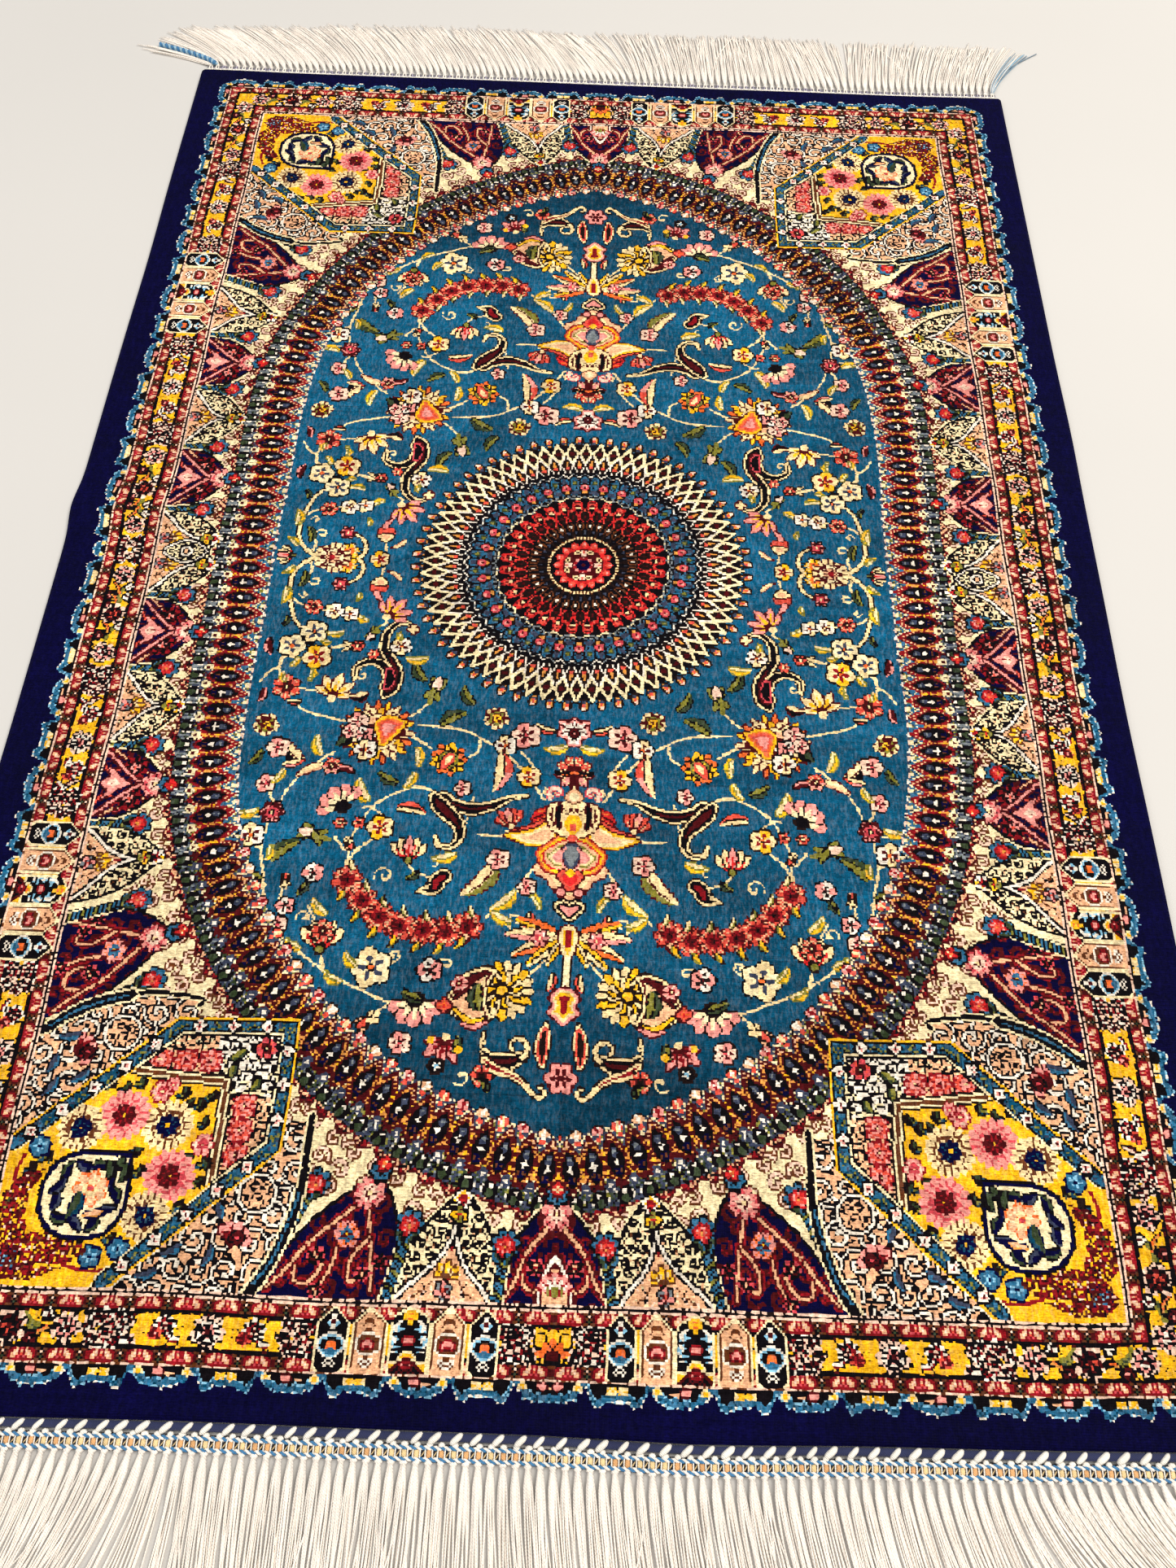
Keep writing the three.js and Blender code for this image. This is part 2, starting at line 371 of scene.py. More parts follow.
def bud(u, v, knot, fill=CREAM, tip=RED, cup=OLIVE, edge=UMBER):
    """A closed flower that points along u, in a cup of two sepals."""
    ink = blank(u)
    petals_round(ink, u, v, knot, (24, -24, 0), -0.35, 1.0, 0.22, (fill, fill, tip), edge, 1.2)
    petals_round(ink, u, v, knot, (38, -38), -0.75, 0.25, 0.17, (cup,), edge, 1.0)
    stalk = blade(u, v, 0, -1.0, -0.15, 0.14, 0.8)
    ink[stalk < 0] = cup
    return ink


def tulip(u, v, knot, fill=CREAM, stripe=RED, cup=OLIVE, edge=MAROON):
    """An open cup of five petals that points along u."""
    ink = blank(u)
    low = u + 0.8
    petals_round(ink, low, v, knot, (40, -40), 0.1, 1.65, 0.26, (fill,), edge, 1.5, stripe)
    petals_round(ink, low, v, knot, (19, -19, 0), 0.1, 1.75, 0.25, (fill, fill, PINK), edge, 1.4,
                 stripe)
    foot = np.hypot(low - 0.12, v)
    ink[foot < 0.3] = edge
    ink[foot < 0.2] = cup
    return ink


def fan(u, v, knot, fill=PINK, inner=WHITE, base=MAROON, edge=UMBER, spread=66, count=5):
    """A half flower: notched petals that spread from a dark base at u = -0.7."""
    low = u + 0.7
    turns = np.linspace(-spread, spread, count)
    ink = blank(u)
    order = sorted(turns, key=lambda turn: -abs(turn))
    width = 1.5 * math.sin(math.radians(spread / count)) + 0.05
    petals_round(ink, low, v, knot, order, 0.2, 1.6, width, (fill,), edge, 1.9, inner)
    foot = np.hypot(low * 1.1, v)
    ink[foot < 0.52] = edge
    ink[foot < 0.4] = base
    return ink


def palmette(u, v, knot, petals=15, outer=YELLOW, other=CREAM, ring=CRIMSON, field=PEACH,
             core=CORAL, heart=WHITE, edge=BLACK):
    """A big ragged flower with a drop-shaped core that points along u."""
    ink = blank(u)
    turns = (np.arange(petals) + 0.5) * 360 / petals - 180
    for row, reach in ((0, 1.0), (1, 0.8)):
        shifted = turns + row * 180 / petals
        petals_round(ink, u, v, knot, shifted, 0.3, reach, 1.35 / petals,
                     (outer, other, outer if row else ORANGE), edge, 1.3)
    body = np.hypot(u, v)
    ink[body < 0.56] = edge
    ink[body < 0.56 - 0.8 * knot] = ring
    ink[body < 0.56 - 2 * knot] = field
    drop_depth = blade(u, v, 0, -0.42, 0.72, 0.28, 0.8)
    ink[drop_depth < 0.9 * knot] = edge
    ink[drop_depth < 0] = core
    ink[blade(u, v, 0, -0.3, 0.4, 0.13, 0.8) < 0] = heart
    return ink


def square_rose(u, v, knot, fill=CORAL, inner=PINK, heart=MAROON, edge=CRIMSON):
    """A square flower of eight even petals."""
    r = np.maximum(np.abs(u), np.abs(v)) * 0.5 + np.hypot(u, v) * 0.5
    lobe = np.abs(np.cos(4 * np.arctan2(v, u)))
    rim = 0.84 + 0.16 * lobe
    ink = blank(u)
    ink[r < rim + 0.5 * knot] = edge
    ink[r < rim - 0.4 * knot] = fill
    ink[(r < rim - 0.4 * knot) & (lobe > 0.75) & (r > 0.66)] = inner
    ink[(r < rim) & (lobe < 0.34) & (r > 0.42)] = edge
    ink[r < 0.46] = inner
    ink[(r < 0.46) & (lobe < 0.4)] = edge
    ink[r < 0.2] = heart
    ink[r < max(0.08, 0.6 * knot)] = CREAM
    return ink


def lotus(u, v, knot, fill=PINK, inner=WHITE, edge=MAROON, foot=WHITE):
    """A flower with a tall middle petal and two falling pairs, pointing along u."""
    ink = blank(u)
    low = u + 0.5
    petals_round(ink, low, v, knot, (74, -74), 0.05, 1.15, 0.2, (fill,), edge, 1.2, inner)
    petals_round(ink, low, v, knot, (40, -40), 0.05, 1.4, 0.22, (fill,), edge, 1.3, inner)
    petals_round(ink, low, v, knot, (0,), 0.0, 1.5, 0.26, (fill,), edge, 1.2, inner)
    root = np.hypot(low, v)
    ink[root < 0.3] = edge
    ink[np.hypot(low + 0.22, v) < 0.24] = foot
    return ink


# The ring around the field: straight along the sides, and pointed arcs over the ends. These
# give the middle line of its almonds, and how many of them a quarter has.
RING_HALF_WIDTH = 191.4
ARC_START = 111.0
ARC_RADIUS = 231.2
ARC_CENTRE = RING_HALF_WIDTH - ARC_RADIUS
ARC_SWEEP = math.atan2(math.sqrt(ARC_RADIUS ** 2 - ARC_CENTRE ** 2), -ARC_CENTRE)
RING_QUARTER = ARC_START + ARC_RADIUS * ARC_SWEEP
RING_ALMONDS = 41.5
RING_PITCH = RING_QUARTER / RING_ALMONDS


def ring_place(x, y):
    """How far out of the ring's middle line a place lies, and how far along it from the side."""
    straight = y < ARC_START
    reach = np.hypot(x - ARC_CENTRE, y - ARC_START)
    angle = np.arctan2(y - ARC_START, x - ARC_CENTRE)
    out = np.where(straight, x - RING_HALF_WIDTH, reach - ARC_RADIUS)
    along = np.where(straight, y, ARC_START + ARC_RADIUS * angle)
    swell = np.where(straight, 1.0, reach / ARC_RADIUS)
    return out, along, swell


def ring_point(along, out):
    """The place in the chart of a distance along the ring and out from it."""
    if along < ARC_START:
        return RING_HALF_WIDTH + out, along
    angle = (along - ARC_START) / ARC_RADIUS
    return (ARC_CENTRE + (ARC_RADIUS + out) * math.cos(angle),
            ARC_START + (ARC_RADIUS + out) * math.sin(angle))


FIELD_EDGE = -14.6
ALMOND_MIDDLE = 0.9
BEADS_START = 11.6
BEADS_END = 20.0
SCALLOP_REACH = 4.2
# Beyond this the ring bends round the ends, and its outlines are gold and thicker.
BEND_START = 185.0


def lens(out, near, half, inner, outer):
    """How far outside a pointed almond across the ring's middle each place lies."""
    reach = np.where(out < ALMOND_MIDDLE, inner, outer)
    return near - half * np.clip(1 - ((out - ALMOND_MIDDLE) / reach) ** 2, -1, 1)


class Ring:
    """Where each knot lies on the ring: how far out from its middle line, and how far along it
    from the nearest almond's middle and from the nearest gap."""

    def __init__(self, chart):
        out, along, swell = ring_place(chart.x, chart.y)
        self.out = out + 0.5 * chart.slip_x
        self.phase = (along + 0.5 * chart.slip_y) / RING_PITCH
        self.near = np.abs(self.phase - np.round(self.phase)) * RING_PITCH * swell
        self.gap = np.abs(self.phase - np.floor(self.phase) - 0.5) * RING_PITCH * swell
        self.swell = swell
        self.bent = along > BEND_START
        self.step = (self.out + 40).astype(int) % 2 == 0
        self.zone = band(self.out, FIELD_EDGE, BEADS_START)
        self.outline = lens(self.out, self.near, 5.9 * swell, 14.4, 10.6)
        self.almond = lens(self.out, self.near, 3.8 * swell, 9.2, 8.3)


def paint_ring_ground(chart, ring):
    """Between the almonds' tips on the field's side: a pale line inside the outlines, a small
    flower, and a dotted line along the edge."""
    out, near, gap, bent, zone = ring.out, ring.near, ring.gap, ring.bent, ring.zone
    chart.put(zone, np.where(bent, MAROON, SLATE))
    chart.flecks(zone & (out > 0), [BLACK, OLIVE, IVORY, MAROON], 0.6)
    tips = zone & (out < -2) & (ring.outline > 0)
    chart.put(tips, np.where(bent, SLATE, STEEL))
    chart.flecks(tips, [OLIVE, BLACK, SLATE], 0.5)
    chart.put(tips & band(ring.outline, 0.5, 1.5) & (chart.chance < 0.55), IVORY)
    chart.put(tips & ~bent & (np.hypot((out + 12.2) / 1.2, gap / 1.3) < 1), IVORY)
    dotted = band(out, FIELD_EDGE, FIELD_EDGE + 1.1) & ~bent
    chart.put(dotted, SLATE)
    chart.put(dotted & (near < 1.5), WHITE)
    chart.put(dotted & (gap < 1.5), BLUSH)
    kind = np.floor(ring.phase).astype(int) % 3
    bud_place = np.hypot((out - FIELD_EDGE - 0.6) / 2.3, gap / 2.6)
    chart.put(bent & (bud_place < 1.35) & (out < FIELD_EDGE + 1), UMBER)
    budding = bent & (bud_place < 1)
    chart.put(budding, np.choose(kind, [PINK, PEACH, CORAL]))
    chart.put(budding & (gap < 0.8), np.choose(kind, [CRIMSON, WHITE, CREAM]))
    chart.put(budding & (chart.chance < 0.16), WHITE)
    chart.put(bent & (np.hypot(out - FIELD_EDGE - 4.2, gap) < 1.3), CORAL)


def paint_almonds(chart, ring):
    """The black almonds in outlines that are red with pale dots, and gold where two meet."""
    out, near, gap, bent, zone = ring.out, ring.near, ring.gap, ring.bent, ring.zone
    rim = zone & (ring.outline < 0)
    chart.put(rim, np.where(bent, MAROON, CRIMSON))
    chart.put(rim & (ring.almond < 0.7), MAROON)
    chart.put(rim & band(ring.outline, -2.2, -1.1) & (ring.almond > 0.8) & ring.step, PEACH)
    chart.put(rim & bent & band(ring.almond, 0.6, 1.6) & ring.step, GOLD)
    dashes = zone & (gap < 0.8) & band(out, -5.5, 8.5)
    chart.put(dashes, GOLD)
    chart.put(dashes & (chart.chance < 0.14), YELLOW)
    chart.put(dashes & (chart.chance > 0.62), CRIMSON)
    chart.put(dashes & bent & (chart.chance > 0.46), MAROON)
    outer = zone & (out > 8.0) & (gap < 1.6) & (ring.outline > -0.6)
    chart.put(outer, np.where(bent, SLATE, IVORY))

    inside = zone & (ring.almond < 0)
    chart.put(inside, BLACK)
    chart.put(inside & (np.hypot((out + 3.0) / 2.2, near / 1.5) < 1), SLATE)
    chart.put(inside & (np.hypot((out + 3.2) / 1.4, near / 0.9) < 1) & ring.step, SMOKE)
    across = np.abs(out - 1.0)
    star = np.minimum(across, near) + 0.35 * np.maximum(across, near)
    chart.put(inside & (star < 0.85) & (np.hypot(across, near) < 2.1), WHITE)
    chart.put(inside & band(out, 3.6, 7) & (near < 1.6), NAVY)
    chart.put(inside & band(out, 4.4, 6) & band(near, 0.5, 1.6), BROWN)


def paint_ring_rim(chart, ring):
    """The scalloped rim, and the row of beads with white arcs between them and a cream drop
    inside each gap."""
    out, near, gap, bent = ring.out, ring.near, ring.gap, ring.bent
    beads = band(out, BEADS_START, BEADS_END)
    share = np.clip(near / (0.5 * RING_PITCH * ring.swell), 0, 1)
    scallop = BEADS_END + SCALLOP_REACH * share ** 0.8
    chart.put(band(out, BEADS_END - 0.5, scallop + 0.9), MAROON)
    dots = band(out, BEADS_END - 0.5, scallop - 0.3)
    chart.put(dots, PEACH)
    chart.flecks(dots, [MAROON, BLACK, CRIMSON], 0.72)
    chart.put(beads, SLATE)
    chart.flecks(beads, [BLACK, GREEN], 0.5)
    chart.put(beads & ~bent & (gap < 0.6) & (out > 13.5), SMOKE)
    arcs = np.abs(gap - 1.9 + 0.05 * (out - 16) ** 2)
    arcs = beads & (arcs < 0.55) & band(out, 12.2, 18.4)
    chart.put(arcs, np.where(bent & (chart.chance > 0.72), OLIVE, SMOKE))
    chart.put(arcs & (chart.chance < 0.45), WHITE)
    chart.put(arcs & bent & (chart.chance < 0.14), GREEN)
    chart.put(beads & (np.hypot((out - 16.2) / 4.0, near / (3.4 * ring.swell)) < 1), BLACK)
    chart.put(beads & (np.hypot((out - 17.4) / 2.2, near / 1.7) < 1), GREEN)
    chart.put(beads & (np.hypot(out - 14.2, near - 0.4) < 0.8), WHITE)
    chart.put(np.hypot((out - 10.6) / 1.9, gap / 2.3) < 1, np.where(bent, SLATE, IVORY))
    chart.put(np.hypot(out - 10.6, gap) < 1.0, np.where(bent, WHITE, MAROON))
    chart.put(band(out, 9.4, 12.4) & (near < 1.2) & ring.step, MAROON)


def paint_ring(chart):
    ring = Ring(chart)
    paint_ring_ground(chart, ring)
    paint_almonds(chart, ring)
    paint_ring_rim(chart, ring)


# Border bands, by their depth: the distance from the middle on a long side. On a short side
# the same bands lie this much further out.
END_SHIFT = 149.5
FRAME_LINE = 245.0
INNER_GUARD = 248.0
MAIN_BORDER = 254.0
MAIN_BORDER_END = 268.0
OUTER_GUARD = 269.0
OUTER_LINE = 274.0
EDGING = 275.0
NAVY_EDGE = 282.0
EDGING_PERIOD = 52.9
GUARD_PERIOD = 16.4

# One repeat of the guards, charted: along the band, five knots across.
GUARD_CHART = [
    "bmrrqrprqrrmbbkb",
    "mrrqirqriqrrmkik",
    "mrqiqrorqiqrmbkb",
    "mrqqrprprqqrmkwk",
    "bmrrrrrrrrrmbbkb",
]
GUARD_INKS = {"b": BROWN, "m": MAROON, "r": CRIMSON, "p": ROSE, "q": PEACH, "i": BLUSH, "k": BLACK,
              "w": GREEN, "o": CORAL}


def border_place(chart):
    depth = np.maximum(chart.x, chart.y - END_SHIFT)
    on_long_side = chart.x >= chart.y - END_SHIFT
    along = np.where(on_long_side, chart.y, chart.x)
    return depth, along, on_long_side


def paint_guard(chart, start, depth, along):
    rows = np.array([[GUARD_INKS[mark] for mark in row] for row in GUARD_CHART])
    across = np.clip(depth - start, 0, len(rows) - 1).astype(int)
    column = (along / GUARD_PERIOD * rows.shape[1]).astype(int) % rows.shape[1]
    chart.put(band(depth, start, start + len(rows)), rows[across, column])


def paint_edging(chart, depth, along, on_long_side):
    """Blue scrolls outside the outer guard: under a pair of yellow blossoms, then hanging."""
    across = depth - EDGING + 0.5 * chart.slip_x
    zone = band(depth, EDGING, NAVY_EDGE + 3.0)
    chart.put(band(depth, EDGING, NAVY_EDGE + 1.5), NAVY)
    chart.put(band(across, 0, 1.6), BLACK)
    first = np.where(on_long_side, 20.5, 28.0)
    number = np.round((along - first) / (EDGING_PERIOD / 2))
    w = along - first - number * EDGING_PERIOD / 2
    side = np.abs(w)
    capped = number % 2 == 0
    # The scrolls that bear blossoms, with a dip on each side, and those that hang.
    dips = np.exp(-((side - 8.2) / 2.4) ** 2)
    bearing = 5.2 + 2.2 * dips - 4.6 * np.clip((side - 10.2) / 2.6, 0, 1)
    hanging = 6.4 - 5.4 * np.clip(side / 12.6, 0, 1) ** 3 + 0.4 * np.cos(w * 1.3)
    from_line = across - np.where(capped, bearing, hanging)
    chart.put(zone & (from_line < 0), BLACK)
    chart.put(zone & band(from_line, 0.9, 1.9) & (chart.chance < 0.7), SKY)
    chart.put(zone & band(from_line, 0.9, 1.9) & (chart.chance < 0.32), WHITE)
    chart.put(zone & band(from_line, -1.8, 1.0), STEEL)
    chart.put(zone & band(from_line, -1.8, 1.0) & (chart.chance < 0.25), TEAL)
    chart.put(zone & band(from_line, -2.5, -1.6) & (chart.chance < 0.45), SKY)
    blossom = zone & capped & (np.hypot((across - 2.6) / 1.8, (side - 2.4) / 2.4) < 1)
    yellow = np.where(on_long_side, 0.25, 0.6)
    chart.put(blossom, CREAM)
    chart.put(blossom & (chart.chance < yellow), YELLOW)
    small = np.hypot((across - 1.9) / 1.6, (side - 10.0) / 1.9)
    chart.put(zone & ~capped & (small < 1), CREAM)
    chart.put(zone & ~capped & (small < 0.5), YELLOW)
    flower = np.hypot((across - 1.9) / 1.7, (w - 1.6) / 2.6)
    chart.put(zone & ~capped & (flower < 1.1), MAROON)
    chart.put(zone & ~capped & (flower < 0.8), PINK)
    chart.put(zone & ~capped & band(w, -5, -1) & band(across, 2.4, 3.4), PEACH)


# What stands along the main border, from the middle of a side outward: how far along, what
# it is, and its size.
LONG_SIDE_RUN = [
    (4.6, "floret", 4.4), (4.0, "low floret", 3.6), (18.0, "rose", 5.6), (29.0, "hook", 6.5),
    (36.0, "hook", 5.0), (45.0, "star", 6.4), (56.0, "hook", 6.5), (70.5, "rose", 6.0),
    (82.0, "low floret", 4.4), (88.5, "floret", 5.2), (94.5, "low floret", 4.4),
    (101.5, "sprig", 4.0), (110.0, "posy", 5.4), (127.0, "cartouche", 6.8),
    (143.5, "posy", 5.4), (152.0, "sprig", 4.0), (160.5, "floret", 5.4),
    (167.5, "low floret", 4.4), (254.5, "floret", 5.2), (261.5, "low floret", 4.6),
    (276.0, "posy", 5.4), (294.0, "cartouche", 6.8), (312.0, "posy", 5.4),
    (322.0, "sprig", 4.6), (331.0, "floret", 5.4), (339.0, "low floret", 4.6),
    (350.0, "rose", 5.6), (363.0, "hook", 6.4), (377.0, "star", 6.4), (389.0, "hook", 6.4),
    (401.0, "rose", 5.6),
]
SHORT_SIDE_RUN = [
    (0.0, "yellow blossom", 7.0), (11.0, "low floret", 4.6), (17.5, "floret", 5.0),
    (104.5, "floret", 5.0), (111.0, "low floret", 4.6), (125.5, "posy", 5.4),
    (144.0, "cartouche", 7.0), (163.0, "posy", 5.4), (178.0, "low floret", 4.6),
    (185.5, "floret", 5.4), (193.0, "low floret", 4.4), (203.5, "rose", 5.6),
    (214.5, "hook", 6.4), (227.0, "star", 6.4), (239.0, "hook", 6.4), (250.5, "rose", 5.6),
]


def paint_border_run(chart, run, on_long_side):
    middle = (MAIN_BORDER + MAIN_BORDER_END) / 2

    def stamp(motif, along, across, size, turn, **style):
        """Stamps a motif at a place along the border, across it inward of its middle line."""
        x, y = beside(middle, along, True, across, 0)
        if not on_long_side:
            x, y = beside(along, middle + END_SHIFT, False, across, 0)
        chart.stamp(motif, x, y, size, turn + (180 if on_long_side else -90), **style)

    for along, kind, size in run:
        if kind == "rose":
            stamp(ruffle, along, 0, size * 1.16, 20, outer=BLUSH, rays=11)
        elif kind == "posy":
            stamp(ruffle, along - 0.6, 1.6, size * 0.92, 50, middle=CRIMSON, inner=BLUSH, rays=8)
            stamp(ruffle, along + 3.4, -1.6, size * 0.56, 10, outer=CORAL, middle=CRIMSON,
                  inner=PINK, edge=MAROON, rays=6)
            stamp(leaf, along - 4.6, -2.4, size * 0.66, 70, fill=WHITE, shade=CRIMSON, edge=BLACK,
                  bend=0.3, width=0.3)
        elif kind == "star":
            stamp(ruffle, along, 0, size * 1.16, 0, outer=BLUSH, middle=MAROON, inner=CORAL,
                  rays=9)
        elif kind == "floret":
            for step, across in ((-2.8, 4.2), (2.8, 4.4), (-2.9, -4.0), (2.9, -4.2), (0, 0)):
                stamp(ruffle, along + step, across, size * 0.76, 40 * step,
                      outer=WHITE if across else BLUSH, middle=CRIMSON, inner=BLUSH, rays=6)
        elif kind == "low floret":
            for step, across in ((0, 4.6), (1.2, -0.2), (-1.0, -4.6)):
                stamp(ruffle, along + step, across, size * 0.8, 60 * across, outer=BLUSH,
                      middle=MAROON, inner=WHITE, rays=6)
        elif kind == "hook":
            stamp(leaf, along + 1.5, 2.4, size, 60, fill=OLIVE, shade=GREEN, edge=OLIVE,
                  bend=0.35, width=0.16)
            stamp(leaf, along - 1.5, -2.6, size * 0.8, 120, fill=ORANGE, shade=GOLD, edge=BLACK,
                  bend=-0.3, width=0.14)
            stamp(rose, along + 3.2, -4.6, 2.8, 0, petals=4, fill=MAROON, inner=BLACK, heart=PINK)
            stamp(rose, along - 2.8, 5.0, 2.4, 0, petals=4, fill=WHITE, inner=BLACK, heart=MAROON)
        elif kind == "sprig":
            stamp(leaf, along, 2.2, size, 35, fill=BLUSH, shade=MAROON, edge=BLACK, bend=0.3,
                  width=0.3)
            stamp(leaf, along, -3.0, size, 150, fill=WHITE, shade=CRIMSON, edge=BLACK, bend=0.3,
                  width=0.3)
        elif kind == "cartouche":
            stamp(ruffle, along, 0, size * 1.04, 20, outer=BLUSH, middle=WHITE, inner=PINK,
                  rays=14)
        elif kind == "yellow blossom":
            stamp(fan, along, 0, size, 0, fill=YELLOW, inner=ORANGE, base=MAROON, edge=BLACK,
                  spread=74, count=5)


def beside(x, y, on_long_side, across, along):
    """A place moved inward across a border band and on along it."""
    return (x - across, y + along) if on_long_side else (x + along, y - across)


# The group of five niches that breaks each side's border: from and to along the side.
NICHES_SHORT = [(22.0, 35.7, "dark"), (36.4, 51.4, "pale"), (51.6, 68.8, "crown"),
                (69.6, 84.6, "pale"), (85.3, 99.3, "dark")]
NICHES_LONG = [(174.0, 187.4, "dark"), (188.0, 202.6, "pale"), (203.2, 219.2, "crown"),
               (219.8, 234.4, "pale"), (235.0, 248.4, "dark")]


# Half of each niche, charted: from its middle outward, a row for each knot from its
# point to its foot.
NICHE_INKS = {".": LEAVE, "c": IVORY, "k": BLACK, "w": WHITE, "s": SKY, "t": STEEL, "o": ORANGE,
              "m": MAROON, "b": BROWN, "p": PEACH, "r": CRIMSON, "y": YELLOW, "n": PINK}
DARK_NICHE = """
c...... kc..... kkc.... wkkc... wkkkc.. mwkkkc. msskkkc wskkkkc wkkkkkc kkkkkkc wwkkkkc sswwkkc
kksswkc bkkkswc ookkswc ookkkwc tokkswc tttswkc ttswkkc sswkkkc wkkkkkc kwkkkkc wkwkkkc kwkkkkc
kkkkkcc kkkkccp
""".split()
PALE_NICHE = """
c...... cc..... pbc.... ppbc... bppbc.. bbppbc. pbpppbc ppbppbc bppppbc bbpppbc wwwppbc bbbwpbc
rbbbwbc nrmbwbc nnrbwbc rnrbwbc mrmbwbc bbbwpbc wwwppbc bppppbc bwwppbc wbwppbc bwbppbc wbpppbc
ppppppc ppppppc
""".split()
CROWN_NICHE = """
cc....... yycc..... oyykcc... yyykkkc.. oyykkkkc. ykkwwkkc. ykkkwwkkc kkkkswwkc kkssswwkc
kkkkswskc kkkkkkkkc rrkkkswkc nnrkswwsc nnrkkwssc rrkkkkswc kkkssswkc kkkkkkkkc cckkswwkc
yyckkkkkc oyyckkkkc mmcckkkkc rrmmccccc mnrmmyyyc rrmkmmyyc mkmkkmmyc kmkmkkmmc
""".split()


def paint_niches(chart, niches, depth, along, on_long_side):
    for start, end, kind in niches:
        rows = {"dark": DARK_NICHE, "pale": PALE_NICHE, "crown": CROWN_NICHE}[kind]
        inks = np.array([[NICHE_INKS[mark] for mark in row] for row in rows], np.int16)
        share = np.abs(along - (start + end) / 2) / ((end - start) / 2)
        zone = on_long_side & (share < 1) & band(depth, INNER_GUARD, OUTER_LINE)
        row = np.clip(depth - INNER_GUARD, 0, len(rows) - 1).astype(int)
        column = np.clip(share * inks.shape[1], 0, inks.shape[1] - 1).astype(int)
        chart.put(zone & (row > 5), BLACK)
        chart.put(zone, inks[row, column])


def paint_border(chart):
    depth, along, on_long_side = border_place(chart)
    chart.put(band(depth, FRAME_LINE, INNER_GUARD), BLUSH)
    chart.put(band(depth, FRAME_LINE + 1, FRAME_LINE + 2), BLACK)
    worn = np.where(on_long_side, 0.16, 0.3)
    chart.put(band(depth, FRAME_LINE, INNER_GUARD) & (chart.chance < worn), UMBER)
    chart.put(band(depth, INNER_GUARD, NAVY_EDGE), BLACK)
    paint_guard(chart, INNER_GUARD, depth, along)
    paint_guard(chart, OUTER_GUARD, depth, along)
    main = band(depth, MAIN_BORDER, MAIN_BORDER_END)
    chart.put(main, YELLOW)
    tufts = np.abs(np.sin(along * 0.83) * np.cos(along * 0.31)) * 1.4
    chart.put(main & ((depth < MAIN_BORDER + tufts) | (depth > MAIN_BORDER_END - tufts)), MAROON)
    chart.put(main & (chart.chance < 0.035), BLACK)
    paint_border_run(chart, LONG_SIDE_RUN, True)
    paint_border_run(chart, SHORT_SIDE_RUN, False)
    chart.put(band(depth, MAIN_BORDER, MAIN_BORDER + 1) & (chart.chance < 0.7), BLACK)
    chart.put(band(depth, MAIN_BORDER_END - 1, MAIN_BORDER_END) & (chart.chance < 0.7), BLACK)
    chart.put(band(depth, OUTER_LINE, EDGING), BLUSH)
    chart.put(band(depth, OUTER_LINE, EDGING) & (chart.chance < 0.3), BROWN)
    paint_niches(chart, NICHES_LONG, depth, along, on_long_side)
    paint_niches(chart, NICHES_SHORT, depth, along, ~on_long_side)
    paint_edging(chart, depth, along, on_long_side)


def paint_curls(chart, zone, spacing, layers, turns=1.1, seed=0, reach=0.55):
    """Curling stems all over a zone, each a spiral that opens in its own direction."""
    if not zone.any():
        return
    x_low, x_high = chart.x[zone].min(), chart.x[zone].max()
    y_low, y_high = chart.y[zone].min(), chart.y[zone].max()
    for row, y in enumerate(np.arange(y_low - 1, y_high + spacing, spacing * 0.86)):
        hand = 1 if row % 2 else -1
        for column, x in enumerate(np.arange(x_low - spacing * 0.5 * (row % 2), x_high + spacing,
                                             spacing)):
            number = row * 7 + column * 3 + seed
            sway = 0.16 * spacing * math.sin(number * 2.4)
            curl = spiral(x + sway, y + 0.6 * sway, spacing * reach, 137.5 * number, hand * turns)
            chart.stroke(curl, [0.2, 0.3, 0.5], layers, zone)


def paint_zone(chart, zone, ground, line, light, spacing, seed=0):
    """A scrolled ground: outlined stems in large curls, and small leaf strokes between them."""
    chart.put(zone, ground)
    paint_curls(chart, zone, spacing * 1.1, [(0.3, line)], 0.42, seed + 3, 0.34)
    paint_curls(chart, zone, spacing * 1.7, [(1.5, line), (0.55, ground)], 1.1, seed)
    chart.flecks(zone & (chart.ink == ground), [light], 0.16)


def paint_tangle(chart, zone, ground, stem, light, spacing, seed=0):
    """A dark ground that pale scrolled stems nearly cover."""
    chart.put(zone, ground)
    paint_curls(chart, zone, spacing, [(0.85, stem)], 0.9, seed, 0.52)
    paint_curls(chart, zone, spacing * 1.3, [(1.35, ground), (0.6, light)], 0.7, seed + 2, 0.5)


# The arched panels between the ring and the frame: the tip of each arch, where it meets the
# frame, and its ground. On a long side the frame is at x = 245, on a short side at y = 394.5.
LONG_PANELS = [
    ((211, 9.5), (245, -12), (245, 30), "peach"), ((214, 55.4), (245, 32.5), (245, 78), "navy"),
    ((213, 103.6), (245, 81.5), (245, 125.5), "peach"),
    ((212, 150.5), (245, 129.5), (245, 171.5), "navy"),
    ((206, 191), (245, 176), (245, 217), "peach"), ((194, 232), (245, 223), (245, 277), "looped"),
]
SHORT_PANELS = [
    ((0, 352), (-23, 394.5), (23, 394.5), "looped"),
    ((41, 350.5), (27, 394.5), (70, 394.5), "peach"),
    ((80, 344), (74, 394.5), (127, 394.5), "looped"),
]
# A panel's outline: how far up from the frame (0) to its tip (1), and how far aside.
ARCH_SIDE = [(0, 1), (0.3, 0.93), (0.6, 0.72), (0.85, 0.36)]
